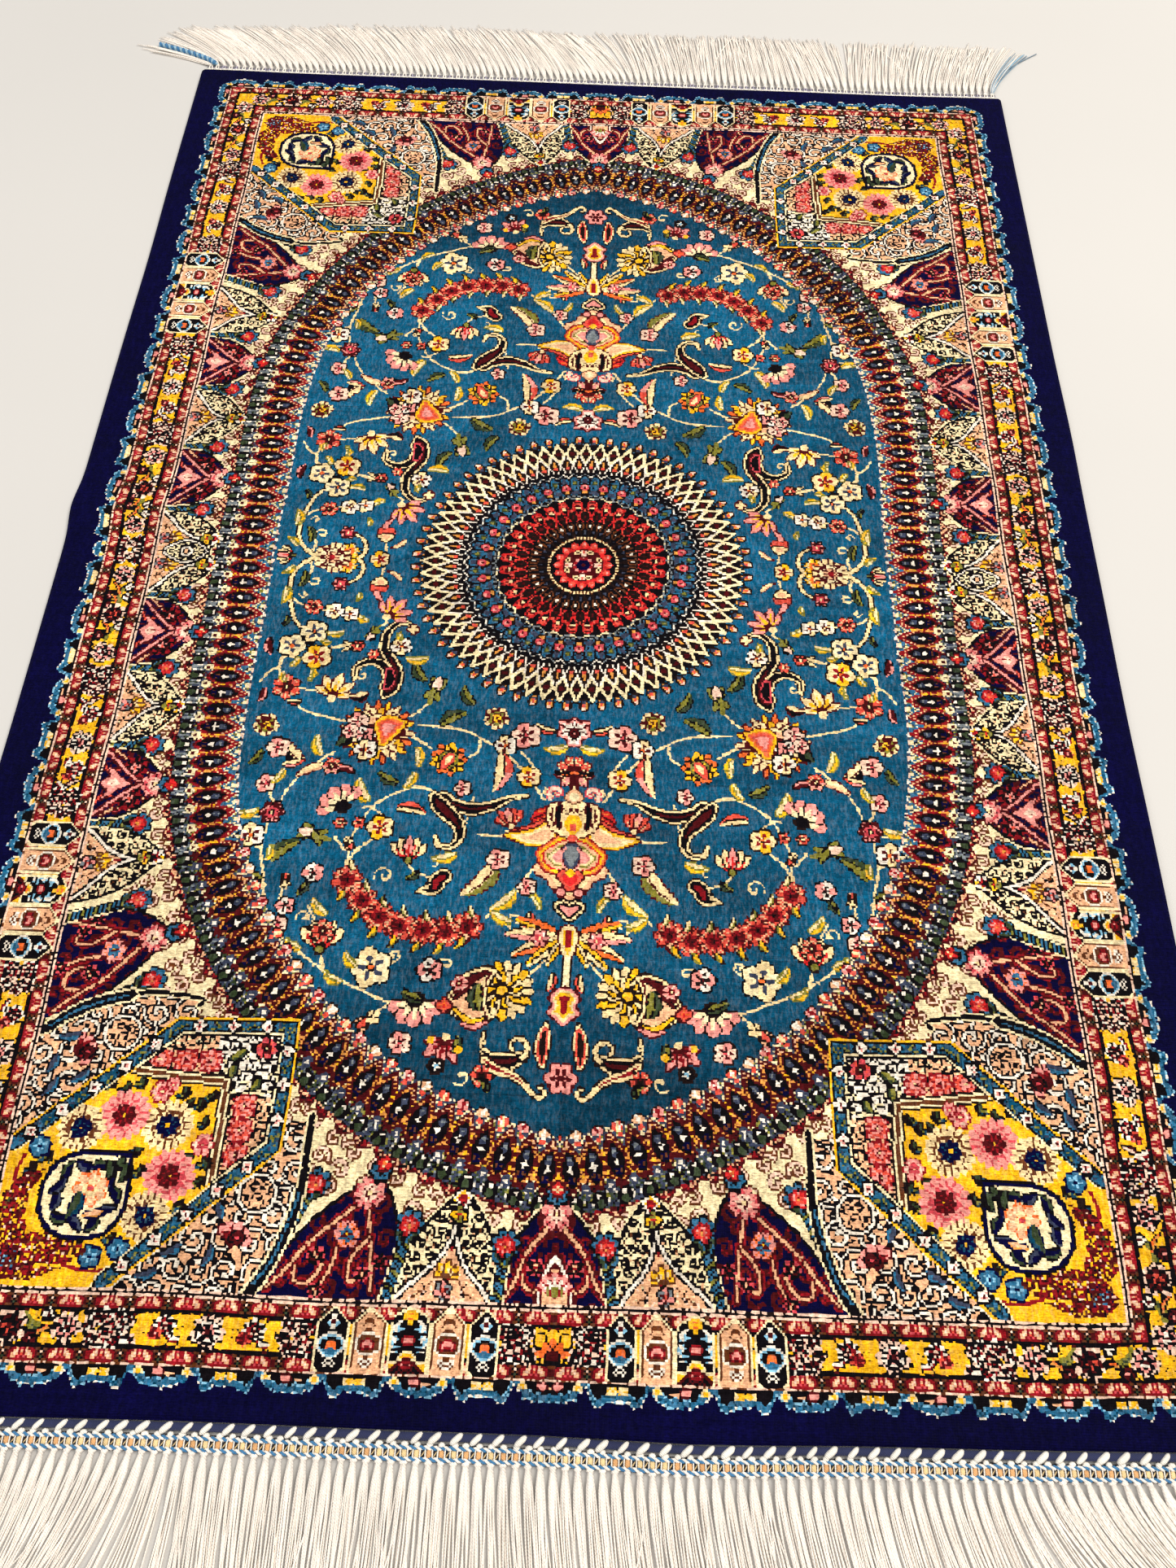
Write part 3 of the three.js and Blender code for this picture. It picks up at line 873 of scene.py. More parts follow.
# Stems between the panels: the flower head and the foot at the frame.
STEMS = [
    ((225, 31), (245, 31)), ((225, 79.7), (245, 79.7)), ((224, 127.5), (245, 127.5)),
    ((221, 173.5), (245, 173.8)), ((213, 215), (245, 226)), ((198, 256), (245, 281)),
    ((22, 372), (25, 394.5)), ((64, 364.5), (72, 394.5)), ((107, 348), (130, 394.5)),
]


def panel_place(tip, low, high):
    """How to place things in a panel: up from the frame (0) to its tip (1), and aside (-1 to 1)."""
    tip, low, high = (np.array(place, float) for place in (tip, low, high))
    base = (low + high) / 2

    def at(up, side):
        return tuple(base + (tip - base) * up + (high - low) / 2 * side)

    turn = math.degrees(math.atan2(tip[1] - base[1], tip[0] - base[0]))
    return at, turn


def paint_panel(chart, tip, low, high, ground, seed):
    at, turn = panel_place(tip, low, high)
    shape = [at(up, -side) for up, side in ARCH_SIDE] + [at(1, 0)]
    shape += [at(up, side) for up, side in ARCH_SIDE[::-1]]
    zone = inside_polygon(chart.x, chart.y, shape)
    chart.stroke(shape, 0.5, [(1.6, IVORY), (0.7, BLACK)])
    paint = {"navy": paint_navy_panel, "looped": paint_looped_panel, "peach": paint_peach_panel}
    paint[ground](chart, zone, at, turn, seed)


def paint_navy_panel(chart, zone, at, turn, seed):
    """Dark red curls and pale forked stems on navy, about a pink tulip and under a pink head."""
    chart.put(zone, NAVY)
    paint_curls(chart, zone, 8.6, [(0.9, MAROON), (0.05, CRIMSON)], 0.9, seed + 2, 0.46)
    chart.flecks(zone & (chart.ink == CRIMSON), [BLACK, PEACH, NAVY, ROSE], 0.5)
    for side in (-1, 1):
        chart.stamp(ruffle, *at(0.5, side * 0.42), 6.6, seed * 40, outer=CRIMSON, middle=MAROON,
                    inner=PINK, heart=CORAL, edge=BLACK, rays=8, within=zone)
    wedge = inside_polygon(chart.x, chart.y, [at(0.64, 0), at(0.0, -0.82), at(0.0, 0.82)]) & zone
    chart.put(wedge, NAVY)
    chart.flecks(wedge, [BLACK, MAROON], 0.2)
    for side in (-1, 1):
        stem = [at(0.8, 0), at(0.62, side * 0.05), at(0.36, side * 0.36), at(0.02, side * 0.86)]
        chart.stroke(stem, [0.5, 0.4], [(1.2, MAROON), (0.25, PINK)], zone)
        chart.stroke([at(0.3, side * 0.7), at(0.12, side * 0.92)], 0.4,
                     [(0.9, MAROON), (0.1, PEACH)], zone)
        chart.stroke([at(0.24, side * 0.36), at(0.08, side * 0.34), at(0.02, side * 0.52)],
                     0.4, [(0.7, MAROON), (0.1, CORAL)], wedge)
    cup = [at(0.5, 0), at(0.33, -0.14), at(0.1, -0.42), at(0.15, -0.2), at(0.03, 0), at(0.15, 0.2),
           at(0.1, 0.42), at(0.33, 0.14)]
    chart.shape(cup, [(-0.8, MAROON), (0.0, PINK), (2.2, BLUSH)], zone)
    chart.stroke([at(0.42, 0), at(0.16, 0)], 0.2, [(0.1, CRIMSON)])
    paint_panel_head(chart, at, turn)


def paint_looped_panel(chart, zone, at, turn, seed):
    """Long pink stems that fork and loop on navy, with an orange flower, under a pink head."""
    chart.put(zone, NAVY)
    paint_curls(chart, zone, 10.4, [(0.8, MAROON), (-0.1, CRIMSON)], 0.9, seed + 1, 0.42)
    stems = ([at(0.86, 0), at(0.6, -0.26), at(0.36, -0.5), at(0.06, -0.78)],
             [at(0.5, -0.34), at(0.3, -0.22), at(0.14, -0.36), at(0.2, -0.52)],
             [at(0.82, 0), at(0.64, 0.3), at(0.4, 0.62), at(0.16, 0.56), at(0.12, 0.3),
              at(0.26, 0.2), at(0.34, 0.36)],
             [at(0.4, 0.62), at(0.2, 0.76), at(0.06, 0.9)],
             [at(0.44, 0.1), at(0.24, 0.04), at(0.06, 0.1)])
    for stem in stems:
        chart.stroke(stem, [0.6, 0.5], [(1.5, CRIMSON), (0.9, MAROON), (0.1, PEACH)], zone)
    for up, side, size in ((0.2, -0.52, 3.6), (0.34, 0.36, 4.2), (0.06, 0.1, 3.6), (0.3, -0.7, 3.4)):
        chart.stamp(ruffle, *at(up, side), size, 0, outer=ROSE, middle=MAROON, inner=PEACH,
                    heart=CRIMSON, edge=BLACK, rays=6, within=zone)
    # The arch in the middle of the short side leaves no room for the flower.
    if at(0.5, 0)[0] > 0:
        chart.stamp(carnation, *at(0.52, 0.04), 6.4, turn, petals=6, fill=PINK, inner=STEEL,
                    light=ORANGE, edge=MAROON, heart=YELLOW, within=zone)
    paint_panel_head(chart, at, turn)


def paint_panel_head(chart, at, turn):
    """The pink flower at a dark panel's tip, with its blue hood and red bud."""
    chart.stamp(carnation, *at(0.87, 0), 7.6, turn, petals=9, fill=PINK, inner=BLUSH, light=ROSE,
                edge=MAROON, heart=CREAM)
    chart.stamp(rose, *at(1.06, 0), 4.6, turn, petals=6, fill=STEEL, inner=BLACK, heart=SKY,
                edge=BLACK)
    chart.stamp(rose, *at(1.12, 0), 3.0, turn, petals=4, fill=RED, inner=CREAM, heart=ORANGE,
                edge=MAROON)


def paint_peach_panel(chart, zone, at, turn, seed):
    """Two scrolled leaves that leave a plain pointed arch between them, with a yellow flower."""
    chart.put(zone, IVORY)
    paint_curls(chart, zone, 6.2, [(0.3, BLACK)], 1.1, seed, 0.47)
    chart.flecks(zone & (chart.ink == IVORY), [PEACH, BROWN], 0.12)
    arch = [at(0, -0.9), at(0.14, -0.7), at(0.34, -0.3), at(0.6, -0.06), at(0.6, 0.06),
            at(0.34, 0.3), at(0.14, 0.7), at(0, 0.9)]
    inside = inside_polygon(chart.x, chart.y, arch) & zone
    chart.put(inside, PEACH)
    for side in (-1, 1):
        line = [at(0.74, 0), at(0.56, side * 0.06), at(0.34, side * 0.3), at(0.14, side * 0.7),
                at(0.0, side * 0.95)]
        chart.stroke(line, 0.4, [(1.3, BLACK), (0.35, WHITE)], zone)
        chart.stroke([at(0.3, side * 0.16), at(0.12, side * 0.34), at(0.03, side * 0.6)],
                     0.3, [(0.1, BROWN)], inside)
        chart.stroke([at(0.16, side * 0.44), at(0.08, side * 0.34), at(0.04, side * 0.44)],
                     0.3, [(0.1, BLACK)], inside)
    chart.flecks(inside & (chart.ink == PEACH), [IVORY, BLUSH], 0.14)
    chart.stroke([at(0.5, 0), at(0.2, 0)], 0.2, [(0.1, CRIMSON)], inside)
    chart.stamp(lotus, *at(0.27, 0), 5.0, turn, fill=YELLOW, inner=CREAM, edge=BROWN, foot=CRIMSON,
                within=inside)
    chart.stamp(rose, *at(0.09, 0), 3.6, turn, petals=6, fill=SMOKE, other=PINK, inner=MAROON,
                heart=CORAL, edge=UMBER, within=inside)
    chart.stamp(carnation, *at(0.95, 0), 4.6, turn, fill=WHITE, inner=CRIMSON, light=YELLOW,
                edge=BLACK, heart=RED)
    chart.stamp(rose, *at(0.8, 0), 3.6, turn, petals=4, fill=YELLOW, other=OLIVE, inner=MAROON,
                heart=RED)


def paint_stem(chart, head, foot):
    """A dark leafy stem with slanting bars, under a red flower with a blue hood."""
    head = np.array(head, float)
    foot = np.array(foot, float)
    length = np.hypot(*(foot - head))
    run = (foot - head) / length
    over = np.array([-run[1], run[0]])
    narrow = 1.1 if abs(run[0]) > 0.95 else 2.2
    chart.stroke([head, (head + foot) / 2, foot], [2.8, 2.5, narrow], [(0.9, IVORY), (0.1, BLACK)])
    for number, step in enumerate(np.arange(3.0, length, 2.1)):
        wide = 1.7 + (narrow - 2.3) * step / length * 0.7
        middle = head + run * step
        chart.stroke([middle - run * 0.8 - over * wide, middle + run * 0.8 + over * wide],
                     0.35, [(0.15, OLIVE if number % 3 == 2 else STEEL)])
    turn = math.degrees(math.atan2(run[1], run[0]))
    chart.stamp(rose, *(head - run * 1.4), 6.0, turn, petals=7, fill=STEEL, inner=BLACK,
                heart=STEEL)
    chart.stamp(carnation, *(head - run * 0.2), 4.2, turn + 180, petals=6, fill=RED, inner=CORAL,
                light=PINK, edge=CRIMSON, heart=GOLD)
    for side in (-1, 1):
        chart.stamp(leaf, *(head + run * 4.4 + over * side * 2.8), 3.2, turn + 150 * side,
                    fill=GREEN, shade=STEEL, edge=BLACK)


def paint_spandrel_ground(chart):
    """The pale ground between the ring and the frame, with its pairs of outlined curls."""
    out, _, _ = ring_place(chart.x, chart.y)
    depth, _, _ = border_place(chart)
    ground = (out >= BEADS_START) & (depth < FRAME_LINE)
    chart.put(ground, IVORY)
    for number in range(int(RING_QUARTER / (2 * RING_PITCH)) + 1):
        start = (2 * number + 1) * RING_PITCH
        for row, spread, radius in ((27.5, 4.6, 4.8), (36.5, 4.8, 4.4), (45.5, 4.8, 4.4)):
            for hand in (-1, 1):
                x, y = ring_point(start + hand * spread, row)
                lean = math.degrees(max(0.0, (start - ARC_START) / ARC_RADIUS))
                curl = spiral(x, y, radius, lean - 90 * hand, -hand * 1.0)
                chart.stroke(curl, [0.4, 0.6], [(1.0, BROWN), (0.1, BLUSH)], ground)


def paint_spandrels(chart):
    """The arched panels and the stems between them."""
    depth, _, _ = border_place(chart)
    for number, panel in enumerate(LONG_PANELS + SHORT_PANELS):
        paint_panel(chart, *panel, number)
    # The pointed oval in the middle of the long side.
    oval = [(216.5, 0), (222, 5.4), (229, 7.2), (235, 4.6), (240.5, 0), (235, -4.6), (229, -7.2),
            (222, -5.4)]
    chart.shape(oval, [(-2.2, BLACK), (-1.2, WHITE), (-0.2, BLACK), (0.8, IVORY)])
    inside = inside_polygon(chart.x, chart.y, oval) & (chart.ink == IVORY)
    paint_curls(chart, inside, 4.2, [(0.2, BLACK)], 0.8, 3)
    for level, ink in ((4.6, BLACK), (3.6, WHITE), (2.4, BLACK), (1.2, PEACH)):
        chart.put(np.hypot(chart.x - 228, chart.y) < level, ink)
    # The white pointed arch in the middle of the short side.
    for level, ink in ((0.0, MAROON), (1.3, WHITE), (2.5, MAROON), (3.7, PEACH)):
        arch = (chart.x < 9.2 - level) & (chart.y > 372 + level * 2.2 + chart.x ** 1.6 * 0.62)
        chart.put(arch & (depth < FRAME_LINE), ink)
    chart.stamp(fan, 0, 386, 5.0, -90, fill=PINK, inner=WHITE, base=OLIVE, edge=CRIMSON)
    chart.put((chart.x < 4) & band(chart.y, 388, 391.4) & (chart.x % 2 < 1.2), OLIVE)
    for head, foot in STEMS:
        paint_stem(chart, head, foot)


# The window in each corner: its outline, the flowers of its blue band, the yellow garden
# inside it, and the scrolled lobes on both sides.
WINDOW = [(124.3, 273.4), (182, 273.4), (245.4, 331), (245.4, 394.4), (189, 394.4), (124.3, 334.5)]
WINDOW_CENTRE = np.array([195.0, 345.0])
BAND_SPACING = 8.0
BAND_MIDDLE = 4.2
GARDEN = [(155, 304), (172, 302.5), (186, 300.5), (201, 298.5), (210, 303), (245, 337),
          (245, 394.2), (191, 394.2), (154, 358), (153, 330)]
SCROLL_LOBES = [
    [(173, 264), (194, 261.5), (206, 263), (245, 284), (245, 331), (182, 273.4), (173, 273.4)],
    [(113, 321), (113, 350), (131, 394.4), (189, 394.4), (124.3, 334.5), (124.3, 321)],
]


def paint_scroll_lobes(chart, within_frame):
    """The scrolled ground on both sides of the window, with its round vines and flowers."""
    x, y = chart.x, chart.y
    for index, lobe in enumerate(SCROLL_LOBES):
        zone = inside_polygon(x, y, lobe) & within_frame
        chart.put(zone, PEACH)
        paint_curls(chart, zone, 8.6, [(0.25, BLACK)], 0.7, index + 3, 0.42)
        paint_curls(chart, zone, 12.6, [(1.2, BLACK), (0.3, WHITE)], 1.1, index * 5, 0.54)
    chart.stroke([(173, 268), (173, 264), (194, 261.5), (206, 263)], 0.6,
                 [(1.2, IVORY), (0.4, BLACK)], within_frame)
    chart.stroke([(206, 263), (226, 270), (245, 283)], [1.8, 2.0, 1.4],
                 [(1.6, IVORY), (0.6, BLACK)], within_frame)
    chart.stroke([(113, 318), (113, 350), (121, 378), (130, 394.4)], [0.6, 1.2, 1.8],
                 [(1.6, IVORY), (0.6, BLACK)], within_frame)
    for line in ([(208, 264), (226, 270), (243, 281)], [(113.5, 352), (121, 378), (129, 391)]):
        steps = smooth(line, 2.4)
        for before, after in zip(steps[:-1], steps[1:]):
            chart.stroke([before, (before + after) / 2], 0.5, [(0.1, STEEL)], within_frame)
    for cx, cy in ((207, 282), (132, 353)):
        for level, ink in ((9.8, BLACK), (8.8, WHITE), (7.6, BLACK), (6.8, PEACH)):
            chart.put(np.hypot(x - cx, y - cy) < level + 0.5 * chart.slip_x, ink)
        disc = np.hypot(x - cx, y - cy) < 6.6
        paint_curls(chart, disc, 5.2, [(0.3, BLACK)], 0.8, 4)
    for cx, cy, turn in ((222, 290, 200), (139, 370, 250)):
        chart.stamp(fan, cx, cy, 5.4, turn, fill=PINK, inner=CRIMSON, base=MAROON, edge=MAROON)
        chart.stamp(rose, cx - 1, cy + 2, 3.0, petals=4, fill=MAROON, inner=BLACK, heart=ROSE)
    for cx, cy, turn in ((231, 284, 10), (236, 298, 70), (234.5, 309, 60), (166, 378, 30),
                         (150, 380, 70), (175, 388, 20), (222, 303, 40), (148, 361, 110)):
        chart.stamp(leaf, cx, cy, 5.2, turn, fill=SLATE, shade=STEEL, edge=BLACK, bend=0.2)


def paint_corner(chart):
    x, y = chart.x, chart.y
    depth, _, _ = border_place(chart)
    within_frame = depth < FRAME_LINE
    paint_scroll_lobes(chart, within_frame)

    window = inside_polygon(x, y, WINDOW) & within_frame
    corner_sides = [WINDOW[5], WINDOW[0], WINDOW[1], WINDOW[2]]
    sides = edge_distance(x, y, [WINDOW[4]] + corner_sides, closed=False)
    sides = sides + 0.4 * chart.slip_x
    walk = window & (sides > 9)
    paint_zone(chart, walk, PEACH, BLACK, IVORY, 7.6, 2)
    dense = walk & (np.maximum(x - 15, y - 165) < 146)
    paint_tangle(chart, dense, BLACK, IVORY, WHITE, 4.4, 6)
    chart.stamp(carnation, 138.6, 288, 5.6, 45, petals=6, fill=ROSE, inner=MAROON, light=CORAL,
                edge=BLACK, within=walk)
    for cx, cy in ((163.8, 294.4), (175.2, 294.2), (186.8, 294), (144.5, 315), (144.5, 326),
                   (144.5, 337)):
        chart.stamp(square_rose, cx, cy, 5.3, within=walk)
    for cx, cy, turn in ((199, 292, 0), (152, 291, 30), (144, 349, 90), (142, 305, 60),
                         (154, 300, 80)):
        chart.stamp(leaf, cx, cy, 4.5, turn, fill=OLIVE, shade=GREEN, edge=BLACK, within=walk)

    # The blue band with its small flowers, between thin yellow, black and pale lines.
    for level, ink in ((9.3, BLACK), (8.4, IVORY), (7.4, BLACK), (6.4, STEEL), (1.9, BLACK),
                       (1.0, YELLOW)):
        chart.put(window & (sides < level), ink)
    chart.flecks(window & band(sides, 1.9, 6.4), [TEAL, SLATE], 0.3)
    paint_band_flowers(chart, [WINDOW[0], WINDOW[1], WINDOW[2]])
    paint_band_flowers(chart, [WINDOW[0], WINDOW[5], WINDOW[4]])
    paint_garden(chart, sides, window)


def paint_garden(chart, sides, window):
    """The yellow garden: daisies, leaves, a roundel and two dense red botehs."""
    depth, _, _ = border_place(chart)
    garden = inside_polygon(chart.x, chart.y, GARDEN) & (depth < FRAME_LINE) & (sides > 8)
    hem = edge_distance(chart.x, chart.y, GARDEN) + 0.4 * chart.slip_y
    near_walk = (hem < 2.9) & (sides > 9) & (depth < FRAME_LINE - 3) & window
    chart.put(near_walk, PEACH)
    chart.put(garden, YELLOW)
    chart.put(near_walk & band(hem, 1.9, 2.9), UMBER)
    chart.put(near_walk & band(hem, 0.9, 1.9), IVORY)
    chart.put(near_walk & (hem < 0.9), BROWN)
    for cx, cy, turn in ((160.4, 311, 40), (164.5, 315, 100), (173, 309.5, 80), (170, 314, 30),
                         (193, 305, 90), (200, 308, 60), (161, 323, 70), (157, 341, 110),
                         (159.5, 349, 20), (186, 345, 60), (189, 336, 10), (234, 346, 80),
                         (238, 352, 40), (165, 360, 160), (193, 374, 50), (207, 306, 50),
                         (216, 340, 20), (228, 340, 120), (166, 338, 0), (240, 362, 90)):
        chart.stamp(leaf, cx, cy, 3.4, turn, fill=GREEN, shade=BLACK, edge=UMBER, width=0.42,
                    saw=0.2, within=garden)
        chart.stamp(leaf, cx + 1.8, cy + 1.8, 2.0, turn + 80, fill=TEAL, shade=OLIVE, edge=BLACK,
                    width=0.4, within=garden)
    for cx, cy, size in ((183, 309, 5.2), (159.7, 333, 5.0), (178.5, 305.5, 3.2)):
        chart.stamp(carnation, cx, cy, size, petals=6, fill=PINK, inner=ROSE, light=BLUSH,
                    edge=CRIMSON, within=garden)
    for cx, cy, size, pale in ((177, 324.5, 12.0, True), (197.5, 320.5, 11.8, False),
                               (215.5, 327, 11.0, True), (172, 347, 12.0, False),
                               (179.6, 364.5, 11.0, True)):
        if pale:
            chart.stamp(daisy, cx, cy, size, within=garden)
        else:
            chart.stamp(daisy, cx, cy, size, fill=PINK, line=ROSE, ring=MAROON, heart=CRIMSON,
                        rays=16, within=garden)
    for cx, cy in ((232, 336), (188.5, 378.5), (200, 382), (236, 384)):
        chart.stamp(rose, cx, cy, 4.6, fill=STEEL, inner=SKY, heart=NAVY, edge=NAVY, within=garden)
    paint_botehs(chart, garden)
    paint_roundel(chart, garden)


def paint_botehs(chart, garden):
    """Two dense dark red botehs, and a thin red line beside each."""
    boteh_arms = ([(228, 347), (236, 349), (243, 358), (244, 372), (238, 378), (231, 372),
                   (234, 362), (233, 354)],
                  [(203, 379), (213, 374), (226, 373.5), (238, 378), (243, 386), (236, 391.5),
                   (224, 391), (212, 386)])
    for arm in boteh_arms:
        zone = edge_distance(chart.x, chart.y, arm) < 1.2
        zone = (zone | inside_polygon(chart.x, chart.y, arm)) & garden
        paint_curls(chart, zone, 4.8, [(0.4, MAROON)], 0.9, 3, 0.5)
        paint_curls(chart, zone, 6.6, [(0.2, CRIMSON)], 0.8, 5, 0.5)
        chart.flecks(zone, [BLACK, MAROON, BLUSH, BROWN], 0.24)
    for line in ([(238, 340), (240, 348), (238.5, 358)], [(190, 387), (200, 388), (211, 385)]):
        chart.stroke(line, [0.4, 0.5, 0.3], [(0.4, CRIMSON)], garden)


def paint_band_flowers(chart, line):
    """Small pale flowers and dark sprigs along the window's blue band."""
    line = np.array(line, float)
    for start, end in zip(line[:-1], line[1:]):
        run = end - start
        length = np.hypot(*run)
        run = run / length
        normal = np.array([-run[1], run[0]])
        if np.dot(normal, WINDOW_CENTRE - start) < 0:
            normal = -normal
        turn = math.degrees(math.atan2(run[1], run[0]))
        for k in range(int(length / BAND_SPACING)):
            place = start + run * (k + 0.9) * BAND_SPACING + normal * BAND_MIDDLE
            if k % 2:
                chart.stamp(rose, place[0], place[1], 2.9, turn, petals=4, fill=WHITE,
                            inner=PINK, heart=MAROON, edge=BLACK)
            else:
                for side in (-1, 1):
                    spot = place + normal * side * 0.9 + run * side * 1.4
                    chart.stamp(leaf, spot[0], spot[1], 2.8, turn + 24 * side, fill=OLIVE,
                                shade=BLACK, edge=TEAL, width=0.22)


def paint_roundel(chart, garden):
    """The cream roundel with its thick navy outline, squared towards the window's corner."""
    outline = [(190, 337.5), (202, 337), (214, 337.5), (223.5, 343), (228, 354), (226, 366),
               (218, 373.5), (206, 375.5), (195, 372), (189, 362), (188.5, 350)]
    chart.shape(outline, [(-0.6, BLACK), (0.4, NAVY), (1.8, IVORY)], garden)
    inner = inside_polygon(chart.x, chart.y, outline) & garden
    for k in range(11):
        angle = math.radians(33 * k + 15)
        cx = 208 + 13.2 * math.cos(angle)
        cy = 356 + 13.2 * math.sin(angle)
        chart.stamp(leaf, cx, cy, 4.6, math.degrees(angle) + 60 * (-1) ** k, fill=NAVY,
                    shade=GREEN if k % 2 else SLATE, edge=BLACK, width=0.42, within=inner)
    for cx, cy, turn in ((196, 342.5, 45), (199, 345, 100), (192.5, 346, 80)):
        chart.stamp(leaf, cx, cy, 4.4, turn, fill=GREEN, shade=BLACK, edge=BLACK, width=0.5,
                    within=inner)
    chart.stamp(carnation, 205.7, 353.4, 8.0, petals=7, fill=PEACH, inner=CREAM, light=IVORY,
                edge=ORANGE, heart=ROSE, within=inner)
    chart.stamp(leaf, 212, 360.5, 6.4, 70, fill=GREEN, shade=TEAL, edge=NAVY, width=0.4,
                within=inner)
    chart.stamp(leaf, 203, 363.5, 4.6, 10, fill=PEACH, shade=GOLD, edge=NAVY, within=inner)


# The medallion: how many times each of its rings repeats.
LATTICE_REPEATS = 64
FLOWER_REPEATS = 32
CHAIN_DOTS = 96
CORAL_PETALS = 16
HEART_SPOTS = 8
HEART_PETALS = 4


class Medallion:
    """The chart seen from the medallion's middle: r out from it, and the angle round it."""

    def __init__(self, chart):
        self.chart = chart
        self.r = np.hypot(chart.x, chart.y)
        self.angle = np.arctan2(chart.x, chart.y)

    def aside(self, repeats, offset=0.0):
        """How far each place is, in millimetres round its ring, from the nearest repeat."""
        phase = self.angle * repeats / (2 * math.pi) + offset
        return np.abs(phase - np.round(phase)) * 2 * math.pi * self.r / repeats

    def disc(self, radius, ink):
        self.chart.put(self.r < radius, ink)

    def spots(self, aside, *layers):
        """A ring of spots. Layers are (the ring's radius, half height, half width, ink)."""
        for radius, high, wide, ink in layers:
            self.chart.put(np.hypot((self.r - radius) / high, aside / wide) < 1, ink)


def paint_lattice(medallion):
    """The tufts round the rim, the lattice of cream diamonds, and small diamonds inside it."""
    chart, r = medallion.chart, medallion.r
    big = medallion.aside(LATTICE_REPEATS)
    small = medallion.aside(LATTICE_REPEATS, 0.5)
    chart.put((r < 98.5) & (np.hypot((r - 94.6) / 4.4, small / 2.9) < 1), UMBER)
    medallion.spots(small, (94.6, 3.2, 1.6, GOLD), (96.2, 1.6, 1.1, BLUSH), (93.0, 1.1, 1.4, SLATE),
                    (94.8, 1.2, 0.8, CORAL))
    medallion.disc(90.5, BLACK)
    half = 4.3 * np.clip(1 - np.abs(r - 84.2) / 9.3, 0, 1)
    chart.put((big < half + 1.1) & band(r, 76, 93.5), BLACK)
    chart.put((big < half + 0.2) & band(r, 75, 93), IVORY)
    chart.put((r > 74.5) & (r < 82) & (small > 2.0 + (r - 74.5) * 0.24), IVORY)
    chart.put(np.abs(r - 84.4) / 5.6 + big / 2.8 < 1, UMBER)
    medallion.spots(big, (84.6, 1.3, 1.6, MAROON))
    half = 3.3 * np.clip(1 - np.abs(r - 75.4) / 7.2, 0, 1)
    chart.put((small < half + 0.9) & band(r, 68.5, 82.5), WHITE)
    chart.put((small < half) & (r < 83), UMBER)
    medallion.spots(small, (75.2, 3.2, 0.8, GOLD), (73.4, 1.0, 1.3, CORAL))


def paint_blue_ring(medallion):
    """The black zigzag ring with a thin pale line in it, the blue ring with its flowers, and
    the dark chain with a pale wavy line."""
    chart, r = medallion.chart, medallion.r
    flower = medallion.aside(FLOWER_REPEATS)
    between = medallion.aside(FLOWER_REPEATS, 0.5)
    zigzag = np.abs((medallion.angle * LATTICE_REPEATS / math.pi) % 2 - 1)
    medallion.disc(69.4, BLACK)
    line = band(r - 2.6 * zigzag, 65.2, 66.1)
    chart.put(line, WHITE)
    chart.put(line & (chart.chance < 0.4), SMOKE)
    chart.put(r < 63.6 + 2.6 * zigzag, STEEL)
    chart.flecks(band(r, 50, 66.2) & (chart.ink == STEEL), [SLATE, TEAL, BLACK], 0.48)
    chart.put(band(r, 59.5, 64.4) & (np.abs(flower - 3.0) < 0.6), BLACK)
    chart.put(band(r, 60.5, 64.4) & (flower < 1.2), SLATE)
    medallion.spots(between, (61.3, 1.9, 1.8, GREEN), (61.3, 1.0, 1.0, OLIVE))
    medallion.spots(flower, (56.8, 4.6, 3.3, UMBER), (57.8, 2.4, 2.4, ROSE), (58.6, 1.0, 1.4, PINK),
                    (57.4, 0.8, 0.8, MAROON), (54.6, 1.0, 1.3, GOLD))
    medallion.spots(between, (54.2, 1.6, 2.2, SLATE))
    medallion.disc(52.2, BLACK)
    wave = np.abs(r - 49.6 - 0.9 * np.cos(medallion.angle * FLOWER_REPEATS))
    chart.put(wave < 0.55, np.where(chart.chance < 0.5, SMOKE, IVORY))
    medallion.spots(medallion.aside(CHAIN_DOTS), (51.3, 0.7, 0.8, SMOKE))


def paint_red_ring(medallion):
    """The red ring, with pale florets outside and dark eyes inside."""
    chart, r = medallion.chart, medallion.r
    flower = medallion.aside(FLOWER_REPEATS)
    between = medallion.aside(FLOWER_REPEATS, 0.5)
    medallion.disc(47.8, BLACK)
    chart.put(band(r, 31.5, 47.8) & (np.abs(between - 1.5 - (47.8 - r) * 0.17) < 0.75), RED)
    medallion.spots(between, (44.8, 2.6, 2.9, RED), (43.6, 2.4, 2.0, MAROON),
                    (44.6, 1.3, 1.7, CORAL), (42.2, 0.9, 1.2, CREAM), (44.2, 0.7, 0.7, MAROON))
    medallion.spots(flower, (36.6, 5.2, 3.5, RED), (36.2, 4.4, 2.3, UMBER),
                    (35.8, 1.2, 0.8, MAROON), (40.4, 1.0, 0.8, CORAL))
    chart.flecks(band(r, 31.8, 47.8) & (chart.ink == RED), [CRIMSON, CORAL, MAROON], 0.42)


